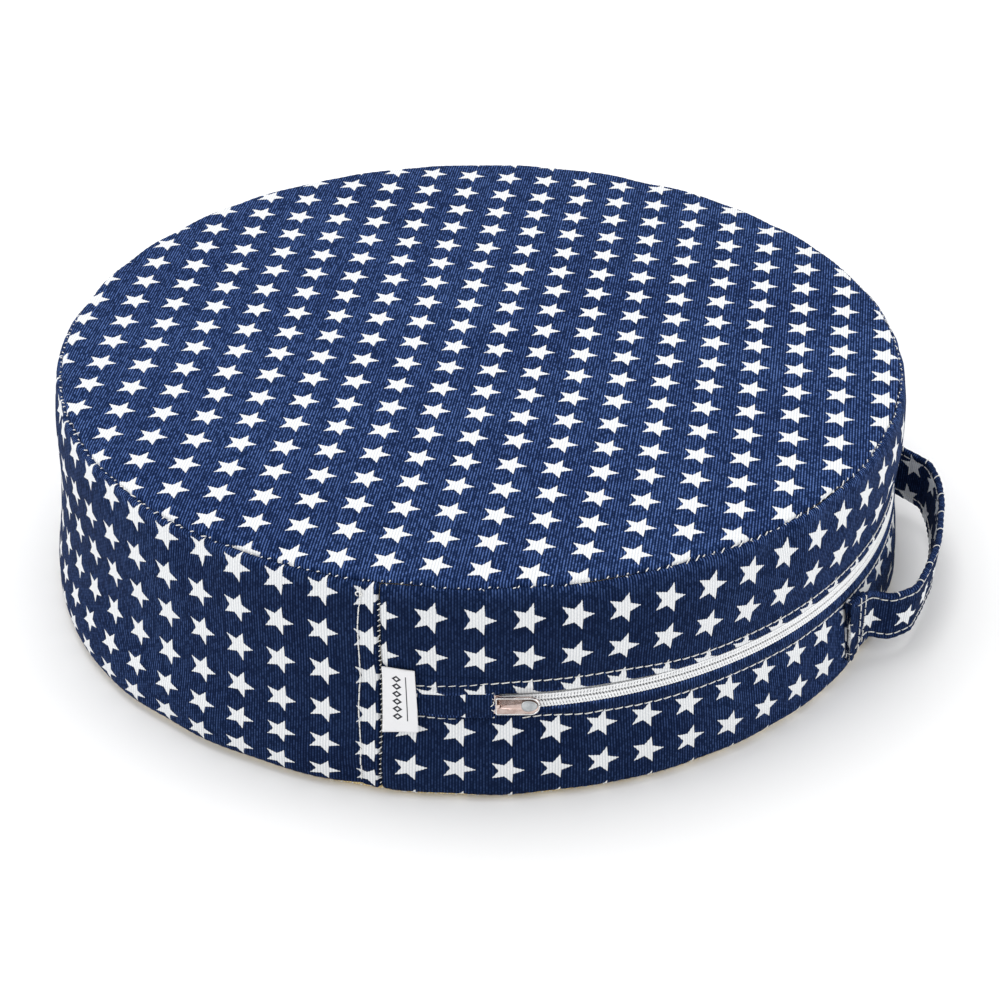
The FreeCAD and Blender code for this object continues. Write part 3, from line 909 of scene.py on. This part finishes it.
def zip_tapes():
    tape_material = nylon_material("zip_tape", (0.74, 0.75, 0.76), (0.86, 0.87, 0.88), 1800.0)
    zip_start, zip_end = join_angle + 0.3 * mm / band_radius, far_join - 0.3 * mm / band_radius
    angle = np.linspace(zip_start, zip_end, 620)[None, :]
    for level, side in (("upper", 1), ("lower", -1)):
        across = np.r_[0.3 * mm, np.arange(1.0, 12.1, 0.5) * mm]
        weave = 0.04 * mm * np.cos(np.arange(len(across)) * math.pi)[:, None] * np.cos(angle * 900)
        points = on_band(angle, zip_z + side * across[:, None], -2.0 * mm + weave)
        faces = grid_faces(len(across), angle.shape[1])
        if side < 0:
            faces = [face[::-1] for face in faces]
        name = "zip_tape_" + level
        tape = finished(name, points, faces, tape_material, thickness=0.5 * mm)
        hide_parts("zipper_tape_" + level)


zip_tapes()


def zip_coils():
    coil_material = nylon_material("zip_coil", (0.80, 0.81, 0.82), (0.93, 0.94, 0.95), 900.0)
    turn = np.linspace(0, 1, 10)
    step = coil_pitch / band_radius
    first, last = join_angle + 1.2 * mm / band_radius, far_join - 1.2 * mm / band_radius
    for level, side in (("upper", 1), ("lower", -1)):
        strips = []
        for angle in np.arange(first, last, step):
            start = angle + (0.5 * step if side < 0 else 0)
            across = 0.22 + 2.65 * turn
            slant = (0.9 if side < 0 else 0.35) * step * (turn - 0.5)
            out = -1.05 + 0.62 * np.sqrt(np.clip(1 - (2 * turn - 1) ** 6, 0, 1))
            strips.append(tube(on_band(start + slant, zip_z + side * across * mm, out * mm), 0.56 * mm, 6))
        core_angle = np.arange(first, last, 0.5 * step)
        for place, radius, wobble in ((2.75, 0.36, 0.16), (1.0, 0.34, 0.0)):
            beat = np.cos(np.arange(len(core_angle)) * math.pi) * wobble
            line = on_band(core_angle, zip_z + side * (place + beat) * mm, (-0.32 + 0.2 * beat) * mm)
            strips.append(tube(line, radius * mm, 6, round_ends=False))
        points, faces = gathered(strips)
        coil = finished("zip_coil_" + level, points, faces, coil_material)
        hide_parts("zipper_coil_" + level)


zip_coils()


# ---- slider and pull tab -------------------------------------------------------------------------
# A cast metal slider with two plates joined by a neck, and a low bridge that holds a flat tab. The tab
# has a raised rim and, near its rounded end, an oval boss. Sizes here are millimetres from the middle.
slider_back, slider_front, slider_half = -4.5, 9.5, 4.5
axle_place, axle_out = 6.6, 2.1      # the tab's axle: along the zip, and out from the band
tab_tip, tab_half = 24.2, 4.2


def at_zip(along, out, up):
    """A place by the parked slider: along the zip to the right, out of the band, and up it."""
    along, out, up = np.broadcast_arrays(*(np.asarray(value, float) for value in (along, out, up)))
    r = wall_radius(zip_z) + out * math.cos(lean) - up * math.sin(lean)
    z = zip_z + out * math.sin(lean) + up * math.cos(lean)
    return np.stack([along, -r, z], axis=-1)


def metal_material(name, low, high, roughness):
    material, shader, wire = new_material(name, roughness, Metallic=1.0)
    where = wire.node("TexCoord", output=3)
    grain = wire.node("TexNoise", sockets={"Vector": where, "Scale": 420.0, "Detail": 4.0})
    connect(shader, "Base Color", grain.between(0.35, 0.65).blend(low, high))
    connect(shader, "Roughness", grain.between(0.2, 0.8) * 0.12 + roughness - 0.05)
    raise_grain(shader, grain, 0.12, 0.0002)
    return material


def rounded_outline(length_back, length_front, half, corner_back, corner_front, steps=8):
    """Corner points of a plate with rounded corners, in millimetres along the zip and across it."""
    corners = (
        (length_front - corner_front, half - corner_front, corner_front, 0),
        (length_back + corner_back, half - corner_back, corner_back, 90),
        (length_back + corner_back, -half + corner_back, corner_back, 180),
        (length_front - corner_front, -half + corner_front, corner_front, 270),
    )
    points = []
    for x, y, radius, start in corners:
        for turn in np.radians(np.linspace(start, start + 90, steps)):
            points.append((x + radius * math.cos(turn), y + radius * math.sin(turn)))
    return np.array(points)


def stamped(levels):
    """A solid from level outlines, each (outline, distance out), from the back face to the front face."""
    rings = [at_zip(outline[:, 0] * mm, out * mm, outline[:, 1] * mm) for outline, out in levels]
    count = len(rings[0])
    faces = grid_faces(len(rings), count, wrap=True)
    faces += [tuple(range(count))[::-1], tuple(range((len(rings) - 1) * count, len(rings) * count))]
    return np.concatenate(rings), faces


def plate_levels(size, low, high, soft=0.22):
    """Levels of a plate with softened edges; size makes an outline drawn in by a distance."""
    return [(size(soft), low), (size(soft * 0.3), low + soft * 0.3), (size(0), low + soft),
            (size(0), high - soft), (size(soft * 0.3), high - soft * 0.3), (size(soft), high)]


def zip_slider():
    metal = metal_material("slider_metal", (0.60, 0.47, 0.42), (0.72, 0.60, 0.55), 0.22)

    def outer(inset):
        return rounded_outline(slider_back + inset, slider_front - inset, slider_half - inset, 1.8, 2.6)

    def back(inset):
        return rounded_outline(slider_back + inset, slider_front - inset, slider_half - inset, 1.8, 2.2)

    neck = rounded_outline(-4.0, -1.0, 0.2, 0.15, 0.15)
    parts = [stamped(plate_levels(outer, 0.3, 1.3)), stamped(plate_levels(back, -3.6, -2.8)),
             stamped([(neck, -3.0), (neck, 0.5)])]
    bridge = np.array([(-3.0, 1.1), (-2.7, 1.9), (-1.6, 2.55), (1.5, 2.66), (5.0, 2.68),
                       (6.6, 2.70), (7.3, 2.66), (7.68, 2.3), (7.72, 1.1)])
    steps = np.linspace(0, len(bridge) - 1, 33)
    x = np.interp(steps, np.arange(len(bridge)), bridge[:, 0])
    y = np.interp(steps, np.arange(len(bridge)), bridge[:, 1])
    for _ in range(2):
        x[1:-1] = (x[:-2] + 2 * x[1:-1] + x[2:]) / 4
        y[1:-1] = (y[:-2] + 2 * y[1:-1] + y[2:]) / 4
    along = np.gradient(np.c_[x, y], axis=0)
    along /= np.linalg.norm(along, axis=1)[:, None]
    section = [(0.3, 0.75), (0.3, -0.75), (0.15, -0.9), (-0.1, -0.9), (-0.25, -0.75), (-0.25, 0.75),
               (-0.1, 0.9), (0.15, 0.9)]
    rings = [at_zip((x - along[:, 1] * a) * mm, (y + along[:, 0] * a) * mm, b * mm) for a, b in section]
    strip = np.stack(rings, axis=1).reshape(-1, 3)
    faces = grid_faces(len(x), len(section), wrap=True)
    faces += [tuple(range(8))[::-1], tuple(range((len(x) - 1) * 8, len(x) * 8))]
    parts.append((strip, faces))
    points, faces = gathered(parts)
    piece = finished("zip_slider", points, faces, metal, body="slider")
    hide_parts("zipper_slider")


zip_slider()


def pull_tab():
    metal = metal_material("pull_metal", (0.60, 0.45, 0.40), (0.74, 0.60, 0.55), 0.16)
    bright = metal_material("pull_rim_metal", (0.72, 0.72, 0.72), (0.86, 0.86, 0.86), 0.14)

    def plate(inset):
        return rounded_outline(6.2 + inset * 0.3, tab_tip - inset, tab_half - inset, 0.6, 3.9 - inset)

    drawn_in = ((0.25, 1.6), (0.08, 1.68), (0.0, 1.85), (0.0, 2.45), (0.1, 2.62), (0.35, 2.66), (0.62, 2.6),
                (0.75, 2.42))
    points, faces = stamped([(plate(inset), out) for inset, out in drawn_in])
    face = faces.pop()
    window = rounded_outline(6.95, 8.3, 1.0, 0.25, 0.5)
    deep = [at_zip(window[:, 0] * mm, out * mm, window[:, 1] * mm) for out in (2.42, 1.6)]
    base = len(points)
    count = len(window)
    points = np.concatenate([points, *deep])
    after = [(i + 1) % count for i in range(count)]
    faces += [(base + i, base + j, base + count + j, base + count + i) for i, j in enumerate(after)]
    faces += [(face[i], face[j], base + j, base + i) for i, j in enumerate(after)]
    back_face = next(f for f in faces if len(f) == count)
    faces.remove(back_face)
    faces += [(j, i, base + count + i, base + count + j) for i, j in enumerate(after)]
    axle_line = at_zip(axle_place * mm, axle_out * mm, np.linspace(-4.1, 4.1, 13) * mm)
    axle = tube(axle_line + np.array([0, 0.1 * mm, 0]), 0.36 * mm, 12, round_ends=False)
    points, faces = gathered([(points, faces), axle])
    piece = finished("pull_tab", points, faces, metal, body="pull")
    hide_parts("zipper_pull")
    ring = plate(0.38)
    rim_line = at_zip(np.r_[ring[:, 0], ring[0, 0]] * mm, 2.6 * mm, np.r_[ring[:, 1], ring[0, 1]] * mm)
    points, faces = tube(rim_line, 0.3 * mm, 8, round_ends=False)
    finished("pull_rim", points, faces, bright, body="pull")
    boss = []
    for share in np.linspace(0, 1, 9):
        angle = np.linspace(0, 2 * math.pi, 40, endpoint=False)
        size = math.cos(share * math.pi / 2) ** 0.6 + 0.02
        x = 19.9 + 3.3 * size * np.sign(np.cos(angle)) * np.abs(np.cos(angle)) ** 0.9
        y = 0.1 + 2.55 * size * np.sin(angle) * (1 - 0.18 * np.cos(angle))
        boss.append((np.c_[x, y], 2.42 + 0.75 * math.sin(share * math.pi / 2)))
    points, faces = stamped(boss)
    dull = metal_material("pull_boss_metal", (0.36, 0.38, 0.40), (0.52, 0.54, 0.55), 0.34)
    finished("pull_boss", points, faces, dull, body="pull")


pull_tab()


# ---- cover over the slider -----------------------------------------------------------------------
# A plain flap of the same cloth hides the parked slider. It is tucked under both folded edges, lies
# flat by the label and rises over the slider, and its cut end is turned back with a few loose threads.
flap_back = -31.0
flap_front = 5.2


def flap_rise(along, up):
    """Height of the flap over the band, in millimetres: a soft dome over the slider, flat elsewhere."""
    over = smooth((along + 12) / 7)
    shoulder = smooth((6.3 - np.abs(up)) / (1.7 - 0.3 * over))
    plate_height = 0.75 + 1.1 * over - 0.25 * (1 - over) * np.exp(-((up + 1) / 3) ** 2)
    front_edge = 0.25 * smooth((along - 2) / 3)
    return -0.8 + (plate_height + 0.8 + front_edge) * shoulder + 1.55 * over * np.exp(-(up / 2.4) ** 2)


def zip_flap():
    along = np.linspace(flap_back, flap_front, 76)
    up = np.linspace(-8.2, 7.0, 66)
    along_grid, up_grid = np.meshgrid(along, up)
    rise = flap_rise(along_grid, np.where(up_grid < 0, up_grid * 0.86, up_grid))
    rise = rise + 0.10 * ripple(along_grid, up_grid, 71, 9, 9.0) * np.clip(1 - np.abs(up_grid / 6), 0, 1)
    rise = rise + 0.18 * np.exp(-((flap_front - along_grid) / 1.2) ** 2)
    wander = 0.25 * ripple(up_grid, 0 * up_grid, 72, 6, 4.0) * smooth((along_grid - flap_front + 2) / 2)
    angle = front + (along_grid + wander) * mm / wall_radius(zip_z)
    points = on_band(angle, zip_z + up_grid * mm * math.cos(lean), rise * mm)
    fold = np.linspace(0, math.pi, 7)[1:]
    extra = []
    for turn in fold:
        edge = points[:, -1]
        inward = -0.42 * mm * (1 - math.cos(turn))
        onward = 0.42 * mm * math.sin(turn)
        outward = edge * np.array([1, 1, 0]) / np.linalg.norm(edge[:, :2], axis=1)[:, None]
        extra.append(edge + outward * inward + np.array([onward, 0, 0]))
    last = extra[-1]
    for back in (1.0, 2.0, 3.0):
        extra.append(last + np.array([-back * mm, 0, 0]))
    points = np.concatenate([points, np.stack(extra, axis=1)], axis=1)
    flat_u = np.r_[along, flap_front + 0.42 * fold, flap_front + 1.3 + np.array([1.0, 2.0, 3.0])]
    # Painted light: the flap is painted dim, and its turned-back end bright, as a painted highlight on the
    # fold.
    turned = 0.12 + 0.75 * smooth((flat_u[None, :] - flap_front + 0.5) / 0.6)
    flat_v = (up[:, None] + 10.5) * mm
    flat = np.stack(np.broadcast_arrays((flat_u[None, :] + 8.3) * mm, flat_v, turned), axis=-1)
    faces = grid_faces(len(up), points.shape[1])
    piece = finished("zip_flap", points, faces, star_cloth, flat, 0.4 * mm)
    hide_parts("zipper_cover")
    dice = np.random.default_rng(73)
    lines = []
    for height in (-5.4, -4.6, -1.0, 2.2, 3.1, 4.2):
        x = flap_front + dice.uniform(-0.6, 0.5) + np.linspace(0, 1, 7) * dice.uniform(-1.6, 1.0)
        y = height + np.linspace(0, 1, 7) * dice.uniform(-1.3, 1.3)
        out = flap_rise(x, y) + 0.65 + 0.25 * np.sin(np.linspace(0, math.pi, 7))
        lines.append(on_band(front + x * mm / wall_radius(zip_z), zip_z + y * mm, out * mm))
    strands("flap_loose_threads", lines, radius=0.17 * mm)


zip_flap()


# ---- label ---------------------------------------------------------------------------------------
# A white woven tag, folded double and caught in the join, with a plain border and a column of small
# woven diamonds. Its loose corner stands away from the band a little.
label_size = (14.5, 32.0)
label_base = 31.0


def label_material():
    material, shader, wire = new_material("label_weave", 0.62, Specular_IOR_Level=0.35)
    flat = wire.node("Attribute", {"attribute_name": "cloth"}, output=1)
    x = wire.node("SeparateXYZ", sockets={0: flat}) * 1000
    y = wire.node("SeparateXYZ", sockets={0: flat}, output=1) * 1000
    step = y.maths("ABSOLUTE", y.maths("WRAP", y, 1.9, -1.9))
    diamond = (1.75 - (x - 6.4).maths("ABSOLUTE", x - 6.4) * 0.8 - step).between(-0.1, 0.1)
    core = (0.75 - (x - 6.4).maths("ABSOLUTE", x - 6.4) * 0.8 - step).between(-0.1, 0.1)
    line = (0.22 - (x - 10.6).maths("ABSOLUTE", x - 10.6)).between(-0.06, 0.06)
    ends = (y - 5.6).between(-0.1, 0.1) * (28.4 - y).between(-0.1, 0.1)
    marks = ((diamond - core) + line) * ends
    rows = wire.node("Math", {"operation": "COSINE"}, {0: y * 14.0}) * 0.5 + 0.5
    rows = rows * (wire.node("Math", {"operation": "COSINE"}, {0: x * 19.0}) * 0.25 + 0.75)
    cloth = rows.blend((0.74, 0.74, 0.76), (0.90, 0.90, 0.91))
    connect(shader, "Base Color", marks.blend(cloth, (0.012, 0.014, 0.022)))
    raise_grain(shader, rows, 0.35, 0.00015)
    return material


def side_label():
    wide, tall = label_size
    turn = np.linspace(0, math.pi, 9)[1:-1]
    front_x = np.linspace(0, wide, 22)
    u = np.r_[front_x, wide + 0.28 * np.sin(turn), front_x[::-1]]
    layer = np.r_[np.full(22, 0.28), 0.28 * np.cos(turn), np.full(22, -0.28)]
    v = np.linspace(0, tall, 40)
    u_grid, v_grid = np.meshgrid(u, v)
    t, w = np.clip(u_grid / wide, 0, 1), v_grid / tall
    rise = 1.15 + 0.75 * smooth(t * 1.3) + 0.9 * smooth((t - 0.45) / 0.55) * smooth((0.42 - w) / 0.42)
    rise = rise + 0.35 * np.sin(math.pi * w) * smooth(t) - 0.25 * smooth((w - 0.85) / 0.15) * t
    rise = rise + layer[None, :] * (1 + 0.6 * smooth((0.3 - w) / 0.3))
    angle = join_angle + (0.8 + u_grid - 1.5 * t * w ** 1.2) * mm / band_radius
    droop = 0.6 - 1.0 * t ** 1.5 * smooth((w - 0.1) / 0.9) + 2.0 * t * (1 - w)
    points = on_cover(angle, s_at((label_base + v_grid + droop) * mm), rise * mm)
    flat_u = np.r_[front_x, np.full(len(turn), wide), 40 + front_x[::-1]]
    flat = np.stack(np.broadcast_arrays(flat_u[None, :] * mm, v[:, None] * mm), axis=-1)
    faces = grid_faces(len(v), len(u))
    piece = finished("side_label", points, faces, label_material(), flat, 0.18 * mm)
    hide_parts("label")


side_label()


# ---- carrying strap ------------------------------------------------------------------------------
# A strip of the printed cloth folded to a flat tube, with a row of stitches along each edge. Both ends
# are folded under and sewn to the lower strip; between them the strap stands out from the band as a loop.
strap_turn = math.radians(-12.0)
end_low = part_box("handle_end_near")[0].z
loop_low, strap_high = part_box("handle_strap")[0].z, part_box("handle_strap")[1].z
strap_wide = strap_high - end_low
strap_half = 1.2 * mm
strap_edge_row = 4.0 * mm


def strap_path():
    """The strap's line seen from above, from fold to fold, as (out, across) and the length along it."""
    out = np.array([187.13, 190.08, 199.52, 207.9, 212.5, 214.9, 215.4])
    across = np.array([64.0, 62.4, 58.9, 51.2, 35.84, 17.92, 0.0])
    band = []
    for degrees in np.linspace(23.7, 19.6, 6):
        turn = math.radians(degrees)
        r = wall_radius((end_low + strap_high) / 2) + 3.1 * mm
        band.append((r * math.cos(turn) / mm, r * math.sin(turn) / mm))
    half = [*band, *[(out[i], across[i]) for i in range(1, 7)]]
    points = [(o, -a) for o, a in half] + [(o, a) for o, a in reversed(half[:-1])]
    points = np.array(points) * mm
    place = np.r_[0, np.cumsum(np.linalg.norm(np.diff(points, axis=0), axis=1))]
    fine = np.linspace(0, place[-1], 420)
    line = np.stack([np.interp(fine, place, points[:, i]) for i in (0, 1)], axis=1)
    kernel = np.hanning(23)
    kernel /= kernel.sum()
    padded = np.concatenate([2 * line[0] - line[11:0:-1], line, 2 * line[-1] - line[-2:-13:-1]])
    line = np.stack([np.convolve(padded[:, i], kernel, "valid") for i in (0, 1)], axis=1)
    length = np.r_[0, np.cumsum(np.linalg.norm(np.diff(line, axis=0), axis=1))]
    return line, length


strap_line, strap_length = strap_path()


def on_strap(along, up, off):
    """Points by the strap: a length along it, a height up its flat width, and a distance off its middle."""
    along, up, off = np.broadcast_arrays(*(np.asarray(value, float) for value in (along, up, off)))
    from_end = np.minimum(along, strap_length[-1] - along)
    low = end_low + (loop_low - end_low) * smooth((from_end - 7 * mm) / (13 * mm))
    share = up / strap_wide
    z = low + share * (strap_high - low) + 5.5 * mm * (1 - smooth((from_end - 8 * mm) / (22 * mm)))
    o, a = (np.interp(along, strap_length, strap_line[:, i]) for i in (0, 1))
    ahead = [np.interp(along + 0.5 * mm, strap_length, strap_line[:, i])
             - np.interp(along - 0.5 * mm, strap_length, strap_line[:, i]) for i in (0, 1)]
    size = np.hypot(*ahead) + 1e-12
    free = smooth(from_end / (14 * mm))
    tilt = (share - 0.5) * (2.2 * mm * free - (1 - free) * strap_wide * lean_slope)
    off = off + tilt + free * 0.5 * mm * ripple(along, up * 0.4, 81, 7, 0.045)
    o, a = o + off * ahead[1] / size, a - off * ahead[0] / size
    x = o * math.cos(strap_turn) - a * math.sin(strap_turn)
    y = o * math.sin(strap_turn) + a * math.cos(strap_turn)
    return np.stack([x, y, z + 0.35 * mm * free * ripple(along, 0 * along, 84, 6, 0.04)], axis=-1)


def strap_section():
    """The strap's section as (height, distance off the middle): flat, pinched at its rows of stitches."""
    height = np.r_[np.linspace(0, 7, 15), np.linspace(8, 23, 12), np.linspace(24, 31, 15)] * mm
    edge = np.minimum(height, 31 * mm - height)
    half = strap_half * np.clip(edge / (1.0 * mm), 0, 1) ** 0.5 * 0.95
    half = half - 0.42 * mm * np.exp(-((edge - strap_edge_row) / (0.9 * mm)) ** 2)
    half = half + 0.25 * mm * np.exp(-((edge - 1.8 * mm) / (1.2 * mm)) ** 2) * (edge > 0)
    return np.r_[height, height[::-1][1:-1]], np.r_[half, -half[::-1][1:-1]]


strap_print = (-2.7 * mm, 14.0 * mm)


def strap():
    height, off = strap_section()
    along = np.linspace(0, strap_length[-1], 300)
    tug = 1 - 0.12 * np.cos(2 * math.pi * along / seam_stitch)
    points = on_strap(along[None, :], height[:, None], off[:, None] * tug[None, :])
    faces = grid_faces(len(height), len(along))
    last = (len(height) - 1) * len(along)
    faces += [(last + i, last + i + 1, i + 1, i) for i in range(len(along) - 1)]
    faces = [face[::-1] for face in faces]
    first_column = [j * len(along) for j in range(len(height))]
    faces += [first_column, [place + len(along) - 1 for place in first_column[::-1]]]
    girth = np.r_[0, np.cumsum(np.hypot(np.diff(height), np.diff(off)))]
    turned_over = girth > 27.5 * mm
    # Painted light: the strap is painted dim, with a painted highlight along its rounded top edge.
    flat = np.stack(np.broadcast_arrays(
        along[None, :] - strap_print[0], (girth - strap_print[1] + 12 * mm * turned_over)[:, None],
        np.where(np.abs(girth - 31.5 * mm) < 2.5 * mm, 0.6, 0.15)[:, None],
    ), axis=-1)
    piece = finished("carrying_strap", points, faces, star_cloth, flat, body=None)
    return piece


strap_piece = strap()


def bend(piece):
    """Bakes the piece's placement into its points."""
    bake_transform(piece)


bend(strap_piece)
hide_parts("handle_strap")


def strap_stitches():
    dice = np.random.default_rng(82)
    lines = []
    total = strap_length[-1]
    for row in (strap_edge_row, strap_wide - strap_edge_row):
        for face in (1, -1):
            for first in np.arange(5 * mm, total - 8 * mm, seam_stitch):
                along = first + np.linspace(0.04, 0.92, 9) * seam_stitch
                slant = np.linspace(-0.13, 0.13, 9) * mm + dice.normal(0, 0.06) * mm
                above = strap_half - 0.42 * mm + lying(9, 0.30 * mm, -0.35 * mm)
                lines.append(on_strap(along, row + slant, face * above))
    for first in np.arange(30 * mm, total - 22 * mm, 14.5 * mm):
        turn = np.linspace(-0.2, math.pi + 0.2, 15)
        over = strap_wide - 1.3 * mm + 1.65 * mm * np.sin(turn)
        lines.append(on_strap(first + 0.5 * mm * np.cos(turn), over, 1.45 * mm * np.cos(turn)))
    piece = strands("strap_edge_stitches", lines, body=None, radius=0.25 * mm)
    bend(piece)
    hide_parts("handle_edge_threads")


strap_stitches()


def strap_ends():
    """The ends folded under: a second layer behind the strap, with a round fold, sewn through twice."""
    lines = []
    total = strap_length[-1]
    for end in ("near", "far"):
        near = end == "near"
        turn = np.linspace(math.pi / 2, 3 * math.pi / 2, 13)
        out = np.r_[np.full(4, 1.28), -0.42 + 1.7 * np.sin(turn), np.full(8, -2.12)]
        along = np.r_[[3.4, 2.6, 1.8, 1.0], 0.6 + 1.7 * np.cos(turn), np.linspace(1.2, 12.5, 8)]
        cloth_run = np.r_[0, np.cumsum(np.hypot(np.diff(out), np.diff(along)))]
        height = np.linspace(0.3, 30.7, 44)
        crimp = 0.2 * ripple(height[:, None], cloth_run[None, :], 83, 8, 9.0)
        shift = 2.0 * (height / 31 - 0.5)[:, None]
        place = (along[None, :] - shift * smooth(1 - along / 8)[None, :]) * mm
        place = place if near else total - place
        points = on_strap(place, height[:, None] * mm, (out[None, :] + crimp) * mm)
        faces = grid_faces(len(height), len(out))
        faces = faces if not near else [face[::-1] for face in faces]
        # The folded ends are painted dim, like the strap.
        flat = np.stack(np.broadcast_arrays(
            (3.4 - cloth_run)[None, :] * mm - strap_print[0], height[:, None] * mm - strap_print[1], 0.15
        ), axis=-1)
        piece = finished("strap_fold_" + end, points, faces, star_cloth, flat, 0.7 * mm)
        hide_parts("handle_end_" + end)
        for row, lean_over in ((7.2, 1.8), (11.3, 3.6)):
            for first in np.arange(1.2, 29.0, 4.4):
                up = np.clip(first + np.linspace(0.04, 0.92, 9) * 4.2, 0.6, 30.6)
                across = (row + lean_over * (0.5 - up / 31)) * mm
                place = across if near else total - across
                lines.append(on_strap(place, up * mm, 1.22 * mm + lying(9, 0.36 * mm, -0.25 * mm)))
        for up in (3.0, 18.5):
            curl = np.linspace(-0.3, math.pi + 0.2, 15)
            place = (0.4 - 2.1 * np.sin(curl)) * mm
            place = place if near else total - place
            lines.append(on_strap(place, (up + 1.3 * np.cos(curl)) * mm, (1.7 * np.cos(curl) - 0.2) * mm))
    strands("strap_end_stitches", lines, radius=0.27 * mm, node="handle_end_threads")


strap_ends()


# ---- floor and light -----------------------------------------------------------------------------
# A plain white studio floor, a broad soft light overhead and one at each side, so the front is darkest.
def studio():
    bpy.ops.mesh.primitive_plane_add(size=80, location=(0, 0, floor_z - 0.0002))
    floor = bpy.context.object
    floor.name = "studio_floor"
    material, shader, wire = new_material("studio_floor", 0.9)
    shader.inputs["Base Color"].default_value = (0.92, 0.92, 0.92, 1)
    shader.inputs["Specular IOR Level"].default_value = 0.0
    floor.data.materials.append(material)
    world = bpy.data.worlds.new("studio")
    scene.world = world
    world.use_nodes = True
    world.node_tree.nodes["Background"].inputs["Color"].default_value = (1, 1, 1, 1)
    world.node_tree.nodes["Background"].inputs["Strength"].default_value = 0.80
    for name, place, size, power in (
        ("light_over", (-0.25, 0.35, 1.7), 1.3, 14),
        ("light_left", (-1.8, -0.7, 0.8), 1.2, 11),
        ("light_right", (1.8, -0.5, 0.7), 1.2, 11),
    ):
        data = bpy.data.lights.new(name, "AREA")
        data.size = size
        data.energy = power
        light = bpy.data.objects.new(name, data)
        scene.collection.objects.link(light)
        light.location = place
        light.rotation_euler = (Vector((0, 0, 0.05)) - Vector(place)).to_track_quat("-Z", "Y").to_euler()


studio()
